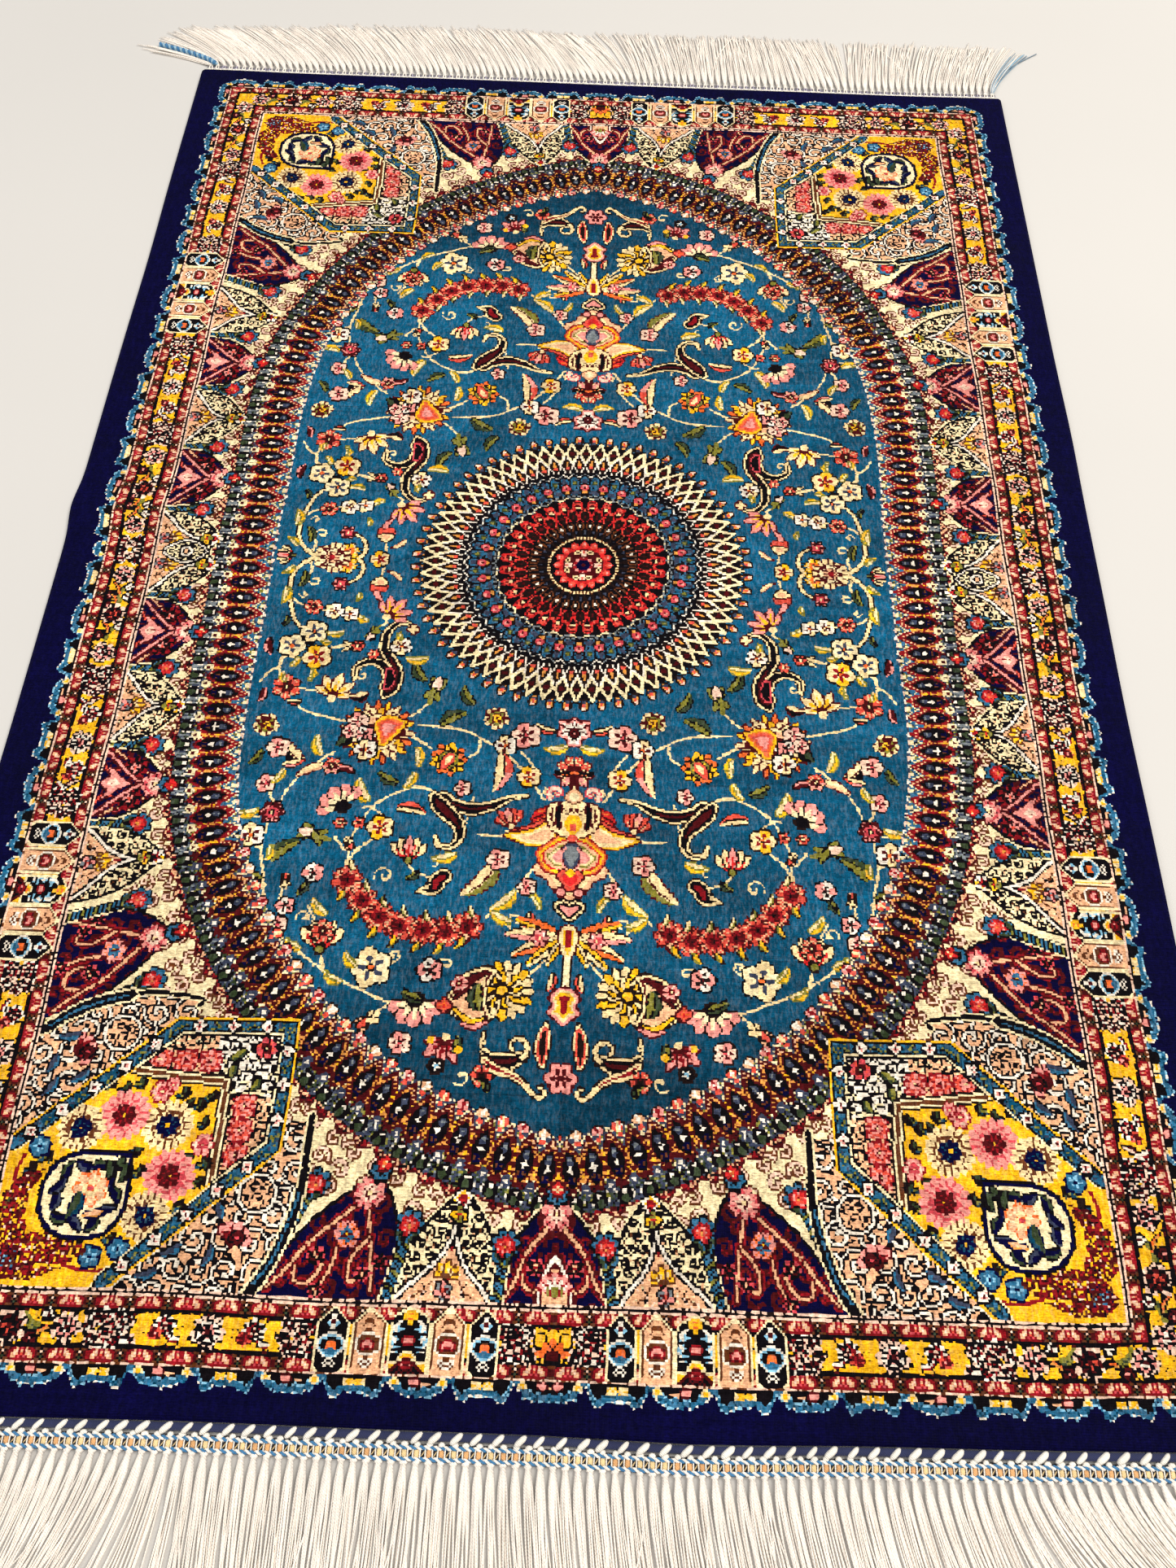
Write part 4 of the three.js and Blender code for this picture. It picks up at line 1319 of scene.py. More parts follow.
def paint_heart(medallion):
    """The dark brown scales with white dots, the dotted gold ring, and the rosette in it."""
    chart, r = medallion.chart, medallion.r
    flower = medallion.aside(FLOWER_REPEATS)
    between = medallion.aside(FLOWER_REPEATS, 0.5)
    medallion.disc(31.8, BLACK)
    scales = np.abs(flower - 1.7 - 0.5 * np.sin((r - 20) * 0.55)) < 0.5
    chart.put(band(r, 20.5, 31.8) & scales, BROWN)
    chart.put(band(r, 21.0, 25.5) & (between < 0.8), UMBER)
    medallion.spots(between, (28.6, 1.1, 0.75, WHITE))
    medallion.spots(flower, (24.2, 1.2, 0.7, SLATE))
    dotted = band(r, 19.0, 20.4)
    chart.put(dotted, BROWN)
    chart.put(dotted & (medallion.aside(LATTICE_REPEATS) < 0.62), CREAM)
    medallion.disc(19.0, BLACK)
    medallion.spots(medallion.aside(CORAL_PETALS), (13.8, 3.4, 2.5, RED), (14.6, 2.0, 1.5, CORAL),
                    (15.2, 0.9, 0.8, PINK))
    medallion.disc(11.4, MAROON)
    medallion.spots(medallion.aside(HEART_SPOTS, 0.5), (9.6, 1.7, 1.7, CREAM),
                    (9.6, 0.8, 0.9, UMBER))
    medallion.spots(medallion.aside(HEART_PETALS), (8.4, 2.2, 1.7, BLUSH), (9.2, 0.9, 0.8, CORAL))
    medallion.disc(5.8, CRIMSON)
    chart.put(band(r, 4.2, 5.8) & (medallion.aside(HEART_SPOTS) < 1.0), PINK)
    medallion.disc(4.0, NAVY)
    medallion.disc(1.3, MAROON)


def paint_medallion(chart):
    medallion = Medallion(chart)
    paint_lattice(medallion)
    paint_blue_ring(medallion)
    paint_red_ring(medallion)
    paint_heart(medallion)


# Colour ways of the field's flowers.
PINK_ROSE = dict(motif=rose, fill=PINK, other=BLUSH, inner=MAROON, heart=ROSE, edge=UMBER)
RED_ROSE = dict(motif=carnation, petals=6, fill=CORAL, inner=MAROON, light=PEACH, edge=UMBER)
DARK_ROSE = dict(motif=carnation, petals=6, fill=MAROON, inner=ROSE, light=PINK, edge=BLACK)
CREAM_ROSE = dict(motif=rose, fill=CREAM, other=WHITE, inner=MAROON, heart=ORANGE, edge=BLACK)
WHITE_ROSE = dict(motif=rose, fill=WHITE, other=PINK, inner=UMBER, heart=MAROON, edge=BLACK)
GOLD_ROSE = dict(motif=rose, fill=YELLOW, other=CREAM, inner=CRIMSON, heart=ORANGE, edge=UMBER)
SPOTTED_ROSE = dict(motif=rose, fill=CREAM, other=IVORY, inner=SLATE, heart=ORANGE, edge=BLACK)
OLIVE_ROSE = dict(motif=ruffle, outer=CREAM, middle=OLIVE, inner=YELLOW, edge=MAROON, rays=9)
GOLD_LEAF = dict(motif=leaf, fill=CREAM, shade=YELLOW, edge=OLIVE, saw=0.1)
GREEN_LEAF = dict(motif=leaf, fill=OLIVE, shade=GREEN, edge=BLACK, saw=0.2)
RED_LEAF = dict(motif=leaf, fill=CREAM, shade=CORAL, edge=UMBER, saw=0.14)
DARK_LEAF = dict(motif=leaf, fill=MAROON, shade=PINK, edge=BLACK)
RED_BUD = dict(motif=bud, fill=PEACH, tip=CORAL, cup=CREAM, edge=UMBER)
GREEN_BUD = dict(motif=bud, fill=OLIVE, tip=BLUSH, cup=OLIVE, edge=BLACK)
RED_TULIP = dict(motif=tulip, fill=CREAM, stripe=RED, cup=OLIVE, edge=UMBER)
CORAL_TULIP = dict(motif=tulip, fill=CORAL, stripe=PEACH, cup=CREAM, edge=MAROON)
SAWN_LEAF = dict(motif=leaf, fill=CREAM, shade=OLIVE, edge=MAROON, saw=0.22)
LONG_LEAF = dict(motif=leaf, fill=CREAM, shade=PEACH, edge=MAROON, bend=-0.2, width=0.24)
BLACK_LEAF = dict(motif=leaf, fill=CREAM, shade=BLACK, edge=MAROON, width=0.46, saw=0.14)
PINK_FAN = dict(motif=fan, fill=PINK, inner=IVORY, base=BLACK, edge=UMBER)
PENDANT = dict(motif=lotus, fill=PINK, inner=CRIMSON, edge=MAROON, foot=CREAM)
EYE_ROSE = dict(motif=rose, fill=BLACK, inner=WHITE, heart=SKY, edge=UMBER)
END_ROSE = dict(motif=rose, petals=6, fill=PINK, inner=MAROON, heart=MAROON, edge=MAROON)
PINK_LILY = dict(motif=lotus, fill=PINK, inner=YELLOW, edge=MAROON, foot=CREAM)
CREAM_LILY = dict(motif=lotus, fill=CREAM, inner=YELLOW, edge=MAROON, foot=CREAM)

# Where the field's flowers and leaves lie: x, y, half length, turn, colour way.
FIELD_FLOWERS = [
    (9.5, 121, 6.5, 5, GOLD_LEAF), (15, 109, 6, -20, RED_LEAF), (25.7, 114, 8, 0, PINK_ROSE),
    (36.4, 120.5, 6, 0, CREAM_ROSE), (42, 103.5, 7, 0, OLIVE_ROSE), (23.6, 139, 6.2, 0, GOLD_ROSE),
    (40, 136, 12, 82, RED_LEAF), (65, 105, 8.5, -150, GREEN_LEAF), (58, 90, 7, -60, GREEN_LEAF),
    (77, 88, 10, -105, GREEN_BUD), (86, 76, 7.5, -60, GREEN_LEAF), (88.6, 67.4, 6.5, 5, GOLD_LEAF),
    (98.6, 60, 5.8, 20, CREAM_ROSE), (99.6, 53, 3.4, -80, GOLD_LEAF),
    (104.4, 35.4, 9.4, -128, PINK_LILY), (115, 51, 6.2, 60, GREEN_BUD),
    (106.6, 11.4, 5.4, -38, LONG_LEAF), (126, 27, 3.4, 80, GOLD_LEAF),
    (122.4, 41, 5, -30, GOLD_LEAF), (129.4, 39, 4.8, 0, CREAM_ROSE),
    (138.8, 37.2, 5.4, 36, CREAM_ROSE), (150.4, 35, 5.6, 0, RED_ROSE),
    (136.8, 18.4, 5.0, 0, DARK_ROSE), (147.8, 51.7, 7.6, 0, SPOTTED_ROSE),
    (158.9, 61.7, 7.6, 36, SPOTTED_ROSE), (143.9, 68.3, 8.0, 10, GOLD_ROSE),
    (136, 51.7, 5, 5, GOLD_LEAF), (140.4, 58, 3.4, -15, GOLD_LEAF),
    (126.5, 60.5, 7.4, 180, RED_BUD), (122.4, 60.5, 3.8, 0, RED_ROSE),
    (113.3, 65.5, 3.2, 0, RED_ROSE), (170.5, 62.2, 5.8, -80, DARK_LEAF),
    (145.5, 79.6, 4.4, 80, GOLD_LEAF), (155.6, 72, 3.8, 60, GOLD_LEAF),
    (131, 88, 10.0, -104, CREAM_LILY), (157.8, 88.4, 8.4, 90, RED_ROSE),
    (160, 82.4, 3.6, -80, GOLD_LEAF), (118, 92.4, 5.4, 10, BLACK_LEAF), (171, 94, 5, 75, DARK_LEAF),
    (165.7, 112.3, 7, 0, OLIVE_ROSE), (147.5, 128.6, 8, -50, BLACK_LEAF),
    (157, 126, 6, 0, PINK_ROSE), (148, 134.4, 5.5, 15, RED_LEAF), (152.5, 97, 4, 0, RED_LEAF),
    (168, 132, 5.5, 60, GREEN_LEAF), (153.6, 164.3, 6.8, 0, DARK_ROSE),
    (135.7, 124, 6.5, -75, GOLD_LEAF), (137, 139.8, 9, 24, LONG_LEAF),
    (127, 136.6, 5.4, 0, RED_ROSE), (119.6, 139.6, 5.2, 165, DARK_LEAF),
    (83, 129.5, 6, 95, GOLD_LEAF), (86, 143.6, 5.5, 60, GOLD_LEAF),
    (97, 142.6, 6.5, -30, GREEN_LEAF), (57.9, 147, 4.4, 0, PINK_ROSE),
    (83, 161.5, 8, 170, RED_LEAF), (97.3, 171.5, 6.8, 0, GOLD_ROSE),
    (108.6, 150.6, 8, -65, GOLD_LEAF), (121.4, 155.8, 8.5, -55, PINK_FAN),
    (108.5, 169.5, 3.2, 0, RED_ROSE), (118, 170, 3.4, 0, RED_ROSE), (112, 181, 4.4, 110, RED_BUD),
    (130, 176.8, 9.5, -20, GREEN_BUD), (82, 183.7, 8.4, -90, RED_TULIP),
    (63.6, 186, 6.5, 15, GOLD_LEAF), (79, 197, 4.4, 30, GREEN_LEAF),
    (32.5, 163.6, 6.8, -70, CORAL_TULIP), (45.5, 197, 13, 50, SAWN_LEAF),
    (36.5, 187, 5.8, 0, PINK_ROSE), (33, 209, 8, 40, GOLD_LEAF), (21.4, 201.4, 4.6, 0, PINK_ROSE),
    (17, 209.4, 4.6, 120, GOLD_LEAF), (144, 186, 9, -140, GREEN_LEAF),
    (162, 177.4, 6.8, 0, CREAM_ROSE), (159.5, 147.7, 5.2, 0, PINK_ROSE),
    (154, 143, 5, 60, GOLD_LEAF), (166, 164, 6, 10, GOLD_LEAF), (128.6, 198, 5.2, 0, WHITE_ROSE),
    (133, 206, 5, 60, GREEN_LEAF), (141.4, 203, 4.6, -80, RED_BUD), (140, 216, 4.6, 0, WHITE_ROSE),
    (142, 226, 4.4, 0, PINK_ROSE), (123, 216.3, 6, -50, GOLD_LEAF),
    (158, 198, 6.5, -40, GREEN_LEAF), (156, 209, 5, -60, GOLD_LEAF),
    (120, 231.8, 9.8, -90, RED_TULIP), (120, 229, 6.0, 45, RED_ROSE),
    (94, 246.6, 10.0, 0, SPOTTED_ROSE), (65.7, 246.6, 6.0, 0, WHITE_ROSE),
    (70.5, 267.5, 8.8, 90, PINK_FAN), (72.5, 259.5, 6, -25, GREEN_LEAF),
    (92, 272.4, 7.2, 35, RED_BUD), (76.4, 282.7, 5.4, 0, PINK_ROSE), (56, 285.4, 8.6, 78, PENDANT),
    (58.6, 293.4, 3.6, 0, EYE_ROSE), (33.5, 218, 6, -30, GOLD_LEAF), (21, 219, 5, 60, RED_LEAF),
    (7.4, 250.6, 4.8, 75, RED_LEAF), (37, 297.5, 5.6, 0, RED_ROSE), (50, 283, 4.4, 70, GREEN_LEAF),
    (36, 302, 4.0, 120, GREEN_LEAF), (104.5, 243, 5, -50, GOLD_LEAF),
    (112, 252, 5.5, -30, GOLD_LEAF), (133, 236, 5, -30, GOLD_LEAF), (152, 187, 4.5, 80, GOLD_LEAF),
    (167.6, 28, 6, 82, GOLD_LEAF), (167.6, 10, 4.6, 40, GOLD_LEAF),
    (158.6, 16, 5.8, 75, GREEN_LEAF), (165, 45.6, 3.8, 70, GREEN_LEAF), (116, 0, 5.6, 0, GOLD_ROSE),
    (170, 0, 6, 0, RED_TULIP), (0, 297, 7.5, 0, END_ROSE),
]

# The red garland: its flowers' places.
GARLAND = [(50, 223.6), (60.5, 226.8), (71.5, 226.6), (83, 224.6), (93.5, 220.2), (102.5, 212),
           (111, 201.5)]

# Cream stems of the field, each a few places that the line runs through.
FIELD_STEMS = [
    [(15.7, 152), (23, 141), (33, 128.5), (48.6, 117), (58, 112.5), (68, 110.6), (84, 110)],
    [(50, 117), (51.5, 125), (58, 129.5)], [(28, 124), (22, 132), (22, 137)],
    [(76, 124), (90, 115)], [(79, 95), (86, 103), (96, 108)],
    [(124, 109), (136, 106), (147, 102.5), (156, 96)],
    [(127, 128), (139, 138), (147, 149), (151, 160)],
    [(93, 152), (101, 158), (107, 167), (111, 178), (112.5, 193)],
    [(70, 150), (82, 147.5), (93, 152)], [(97, 165), (104, 160), (108, 161)],
    [(100, 178), (107, 184), (111, 190)], [(114, 185), (120, 178)],
    [(52, 152), (54, 165), (58, 177), (63, 186), (68, 192)], [(71, 198), (78, 195), (82, 191)],
    [(18, 189), (27, 205), (41, 218.5)],
    [(154.5, 170), (156, 185), (153, 200), (150.5, 214), (147, 222), (140, 232), (123, 245),
     (111, 252), (98, 258), (83, 263.5), (70, 264), (56, 264)],
    [(154, 158), (158, 150)], [(160, 167), (171, 165)], [(156, 185), (162, 182)],
    [(119, 241), (117, 248)], [(83, 264), (92, 270)], [(36, 278), (37.5, 290)],
    [(0, 232), (0, 254)], [(4, 236), (11, 240), (18, 248)], [(48, 250), (43, 258)],
    [(163, 30), (158, 33.4), (153, 35)], [(150, 36), (142, 37)],
    [(163, 69), (163.4, 78), (160, 84)], [(163, 76), (168, 78.4), (173, 86)],
    [(152, 70), (158, 67.6), (163.4, 71)], [(138, 91), (150, 89)], [(128, 60.6), (137, 62)],
    [(113, 0), (113.2, 7), (114.6, 14)], [(156, 2), (154, 9), (155.4, 14)], [(108, 44), (113, 48)],
    [(18, 112), (20, 114)], [(62, 283), (56, 281)], [(151, 205), (158, 198)],
    [(143, 214), (143, 206)], [(123, 226), (129, 216)], [(100, 240), (95, 236)],
    [(32, 170), (37, 174), (48, 173)],
]

# Curls: the middle, radius, starting angle and turns.
FIELD_CURLS = [
    (14, 148, 4.5, 100, 0.9), (93, 198.5, 5.5, 20, -1.0), (26, 220, 5.0, 60, -0.9),
    (46.5, 298, 4.5, 40, 0.8), (58, 243.5, 4.0, 10, -0.8), (117.2, 79.4, 3.8, -60, 0.9),
    (84, 240, 3.6, 90, 0.9), (151.4, 16.4, 4.2, -20, 0.9), (156.6, 26.6, 3.0, 0, 0.8),
    (130, 222, 4.0, 10, -0.8),
]


def paint_field(chart):
    out, _, _ = ring_place(chart.x, chart.y)
    field = out < FIELD_EDGE
    chart.put(field, TEAL)
    for stem in FIELD_STEMS:
        chart.stroke(stem, 0.45, [(0.25, CREAM)])
    for x, y, radius, start, turns in FIELD_CURLS:
        chart.stroke(spiral(x, y, radius, start, turns), [0.3, 0.4, 0.8], [(0.2, CREAM)])
    paint_paisleys(chart)
    paint_cross_axis(chart)
    for number, (x, y) in enumerate(GARLAND):
        chart.stamp(carnation, x, y, 8.4, 25 * number, petals=8, fill=CORAL, inner=CRIMSON,
                    light=PEACH, edge=MAROON, heart=BLACK)
        chart.flecks(np.hypot(chart.x - x, chart.y - y) < 7.5, [MAROON], 0.16)
        chart.stamp(leaf, x + 3, y + 8.5, 3.6, 60, fill=YELLOW, shade=OLIVE, edge=UMBER)
        chart.stamp(leaf, x - 2, y - 8.0, 3.2, -70, fill=CREAM, shade=OLIVE, edge=UMBER)
    for x, y, size, turn, way in FIELD_FLOWERS:
        chart.stamp(x=x, y=y, size=size, turn=turn, within=field, **way)
    # The two big palmettes beside the axis.
    chart.stamp(palmette, 105.5, 115.5, 20.5, 180, petals=19, outer=CREAM, other=YELLOW,
                ring=CREAM, field=PEACH, core=MAROON, heart=WHITE, edge=MAROON)
    fan_sides = [(89.5, 108), (101, 105), (107, 109), (106, 117), (103, 124), (96, 118)]
    chart.shape(fan_sides, [(-0.8, MAROON), (0.0, YELLOW), (1.5, ORANGE), (2.9, CORAL), (4.2, PINK)])
    chart.stamp(leaf, 123.5, 120, 5.6, 50, fill=GREEN, shade=BLACK, edge=BLACK, width=0.5)
    for x, y, size, way in ((116.5, 109, 5.6, PINK_ROSE), (112.6, 117, 5.0, WHITE_ROSE),
                            (111, 126.4, 6.2, CREAM_ROSE), (120.4, 115, 4.2, PINK_ROSE)):
        chart.stamp(x=x, y=y, size=size, **way)
    chart.stamp(palmette, 66.5, 130, 10.4, 60, petals=9, outer=YELLOW, other=ORANGE, ring=OLIVE,
                field=YELLOW, core=CORAL, heart=CREAM, edge=UMBER)
    paint_half_sun(chart)
    paint_axis(chart)


def paint_half_sun(chart):
    """The half sun near each end, in a cup of red sepals about a green leaf."""
    chart.stamp(sunburst, 29.8, 255.8, 15.6, 10)
    cup = [(33, 246), (40, 244.6), (48, 248), (54, 256), (57, 264), (50, 270), (42, 273),
           (34, 270), (37, 263), (36.6, 253)]
    chart.shape(cup, [(-0.9, UMBER), (0.1, CREAM), (1.3, MAROON), (2.3, CREAM), (3.4, PEACH)])
    chart.stroke([(38, 247.4), (44, 250), (48, 256), (52, 260.6)], [0.4, 1.4, 1.3, 0.4],
                 [(0.8, BLACK), (0.1, MAROON)])
    chart.stroke([(37, 270), (43, 271.6), (49, 268.4), (54, 264)], [0.3, 1.0, 1.0, 0.3],
                 [(0.8, UMBER), (0.0, YELLOW)])
    chart.stroke([(36, 271.6), (42, 274.4), (48, 273)], [0.5, 1.2, 0.5], [(0.8, MAROON), (0, PINK)])
    chart.stamp(carnation, 50.6, 253, 4.4, petals=5, fill=PINK, inner=CRIMSON, light=BLUSH)
    chart.stamp(leaf, 41, 259.6, 7.2, -86, fill=OLIVE, shade=GREEN, edge=BLACK, width=0.44, saw=0.2)
    chart.stamp(rose, 57, 264.2, 3.4, petals=4, fill=CORAL, inner=ORANGE, heart=RED, edge=MAROON)
    for x, y in ((48.4, 285.4), (62, 281)):
        chart.put(np.hypot(chart.x - x, chart.y - y) < 1.8, YELLOW)


def paint_paisleys(chart):
    """Long curling leaves with a cream rim and a dark heart."""
    rim = [(1.6, UMBER), (0.8, CREAM), (-0.3, BLACK), (-1.9, MAROON)]
    chart.stroke([(93.4, 47.4), (96, 44.6), (101, 44.2), (105.6, 48), (108, 54), (107.8, 61),
                  (104, 68), (100.4, 75), (101, 84), (104, 93)],
                 [0.5, 0.9, 1.2, 1.6, 2.0, 2.2, 2.8, 4.2, 4.8, 0.8], rim)
    chart.stroke([(103, 80), (105.6, 74), (111, 70.6), (117.4, 71.2), (121.8, 75.4), (121.6, 82)],
                 [2.6, 2.2, 1.8, 1.4, 0.9, 0.3], rim)
    chart.stroke([(103, 76), (102, 82), (103, 87)], [1.2, 2.2, 1.0], [(1.0, ROSE), (0, BLACK)])
    chart.stamp(rose, 93.0, 48.4, 3.0, petals=4, fill=CREAM, inner=CREAM, heart=CREAM, edge=MAROON)
    chart.stroke([(24.5, 150.5), (33, 152), (42, 156.5), (52, 159), (61, 156.5), (67, 151.5)],
                 [0.2, 0.9, 2.0, 2.8, 2.4, 1.6], rim)
    chart.stroke([(72, 152.5), (69, 157), (64, 162), (58.5, 168), (57, 175), (61, 180.5),
                  (67.5, 180), (69, 175.5)], [2.0, 3.8, 3.6, 2.6, 1.8, 1.0, 0.5, 0.2], rim)
    chart.stroke([(63, 197), (66, 199.5), (68, 204), (75.5, 206)], [3.0, 3.6, 1.8, 0.2],
                 [(1.5, UMBER), (0.7, CREAM), (-0.4, BLACK), (-2.0, CRIMSON)])
    chart.stroke([(37, 277), (37.4, 283), (36, 288)], [0.5, 0.6], [(0.9, UMBER), (0.1, CREAM)])
    chart.stroke([(36.6, 286), (32, 289.6), (25, 290.4), (18, 287.6)], [0.8, 2.8, 3.2, 1.6], rim)
    chart.stroke([(18, 288), (15.8, 284), (17.6, 280), (22, 279.4), (24.2, 282), (22.8, 284.6)],
                 [1.0, 0.8, 0.5], [(0.9, UMBER), (0.1, CREAM)])
    chart.stroke([(36, 290), (30, 294.4), (23, 296.6), (17, 300.6), (13, 305), (9.4, 306.4),
                  (7.6, 303.8), (9.6, 301.6)], [1.2, 1.5, 1.2, 0.9, 0.6, 0.4, 0.2],
                 [(1.3, UMBER), (0.5, CREAM), (-0.6, CRIMSON)])


def paint_cross_axis(chart):
    """The large flower on the short axis, its thick stem, and the pendant flower beside it."""
    chart.stroke([(152, 0), (158.4, 4), (163, 10), (165.3, 17), (165, 25), (163.4, 34), (160.4, 43),
                  (155.5, 50)], [1.0, 0.9, 0.7], [(0.8, UMBER), (0.1, CREAM)])
    chart.stroke([(128, 0), (125.2, 5), (125.6, 11), (129, 15.4), (133, 17.4)], [1.0, 1.0, 0.6],
                 [(0.8, UMBER), (0.0, CREAM)])
    chart.stamp(carnation, 134.4, 4.6, 6.6, 160, petals=7, fill=YELLOW, inner=ORANGE, light=CREAM,
                edge=UMBER)
    chart.stamp(ruffle, 143.4, 0, 10.6, 10, outer=CREAM, middle=IVORY, inner=PEACH, heart=CRIMSON,
                edge=MAROON, rays=15)
    chart.shape([(110, 17.6), (111.4, 14.6), (114, 12.4), (117, 14), (119.8, 17.8), (115, 19.6)],
                [(-0.8, UMBER), (0.0, CREAM), (1.6, PEACH)])
    chart.stroke([(115.6, 21), (115.4, 25), (112.2, 30)], [1.8, 1.5, 0.3], [(0.8, MAROON), (0, PINK)])
    chart.shape([(109.6, 18.6), (115, 19.4), (119.8, 18.2), (118.6, 22.4), (116, 21.4), (113.6, 23),
                 (110.6, 22)], [(-0.7, MAROON), (0.1, CORAL)])


def paint_axis(chart):
    """What stands on the long axis between the medallion and the ring."""
    chart.shape(both_sides([(0, 102), (3, 105), (8, 104), (7, 109), (9, 113), (4.5, 115),
                            (3, 119), (0, 120)]), [(-0.9, MAROON), (0, PINK), (1.2, WHITE)])
    chart.stroke([(0, 104), (2.5, 109), (7, 107)], 0.4, [(0.1, MAROON)])
    chart.stroke([(0, 113), (4, 111), (7, 112)], 0.4, [(0.1, MAROON)])
    chart.stamp(rose, 0, 112, 3.0, petals=4, fill=MAROON, inner=BLACK, heart=PINK, edge=BLACK)
    # The carnation: red above, pink below, dark across its middle.
    chart.stamp(carnation, 0, 135.5, 10.4, 90, petals=9, fill=CORAL, inner=MAROON, light=CREAM,
                edge=MAROON, heart=ORANGE)
    lower = band(chart.y, 137, 147)
    chart.put(lower & (chart.ink == CORAL), PINK)
    chart.stamp(leaf, 6, 135.5, 4.4, 0, fill=BLACK, shade=ORANGE, edge=BLACK, width=0.2)
    chart.stamp(bud, 0, 143, 4.0, 90, fill=YELLOW, tip=CREAM, cup=MAROON, edge=MAROON)
    paint_vase(chart)
    paint_half_palmette(chart)


def paint_vase(chart):
    """The tall vase of a palmette: a banded cup, long wings, a nested bulb and a pointed foot."""
    cut = [(-0.9, MAROON), (0.1, CREAM)]
    for line in ([(14, 158), (18, 159.5), (21, 163)], [(14, 162), (19, 165), (22, 169)]):
        chart.stroke(line, [1.6, 1.4, 0.5], [(0.8, MAROON), (0.0, RED), (-0.9, ORANGE)])
    chart.shape([(9, 160), (15, 166), (23, 170.4), (34.5, 172.6), (29, 176), (21, 178.6),
                 (12, 178), (8, 172)], [(-0.9, MAROON), (0.0, YELLOW), (1.1, CREAM), (3.0, PEACH)])
    chart.stroke([(15, 164), (22, 168.2), (32, 170.6)], [0.9, 0.7, 0.3], [(0.7, MAROON), (0, CORAL)])
    chart.shape(both_sides([(0, 189), (9, 190), (17, 188.6), (18, 193), (11.5, 197), (9.5, 201),
                            (4, 204), (0, 209)]), [(-0.9, MAROON), (0, PEACH), (2.4, CREAM)])
    chart.shape(both_sides([(0, 171), (7, 173), (12.5, 177), (17, 181.5), (16, 188), (11, 193),
                            (4, 194.5), (0, 195)]),
                [(-0.9, CRIMSON), (0.0, ORANGE), (1.1, YELLOW), (2.2, RED), (3.2, PEACH),
                 (4.8, OLIVE), (5.7, CREAM), (7.0, PINK)])
    chart.shape(both_sides([(0, 176), (3.6, 178), (5, 183), (3, 188), (0, 191)]),
                [(-0.8, MAROON), (0.2, SLATE), (1.6, SMOKE)])
    chart.stroke([(3, 179), (5.4, 184), (3.2, 190)], 0.5, [(0.1, PINK)])
    chart.shape(both_sides([(0, 193), (4, 191.6), (6.6, 194.5), (4, 199), (0, 202.5)]),
                [(-0.9, MAROON), (0.1, CORAL), (2.0, RED)])
    chart.put(np.hypot(chart.x / 2.0, (chart.y - 193) / 2.2) < 1, YELLOW)
    chart.shape(both_sides([(0, 152), (6, 153), (12.5, 155.5), (13.6, 162), (11, 169),
                            (5, 172.5), (0, 174)]), cut)
    chart.stroke([(7.2, 155.5), (8.0, 161), (7.0, 168)], [1.0, 1.2, 0.8], [(0.7, MAROON), (0, BLACK)])
    chart.stroke([(10.8, 157), (11.4, 162), (9.6, 167)], 0.4, [(0.2, MAROON)])
    chart.shape(both_sides([(0, 160), (3.4, 162), (4.0, 168), (0, 172)]), [(0.0, YELLOW)])
    chart.stroke([(0, 159.5), (1.6, 157), (3, 160), (4.6, 157)], 0.3, [(0.15, MAROON)])
    for middle, radius in ((167.5, 1.6), (173.5, 2.4)):
        chart.put(np.hypot(chart.x / radius, (chart.y - middle) / 2.4) < 1, CORAL)
    chart.shape(both_sides([(0, 146), (3.4, 147.5), (4, 151.5), (0, 153.6)]),
                [(-0.9, BROWN), (0, PEACH), (1.3, IVORY)])
    chart.stroke(spiral(9.0, 148.2, 4.6, 40, -0.85), [0.9, 0.8, 0.5], [(0.8, ROSE), (0.1, BLUSH)])
    chart.stamp(rose, 4.5, 203.5, 2.2, petals=4, fill=PINK, inner=PINK, heart=MAROON, edge=MAROON)


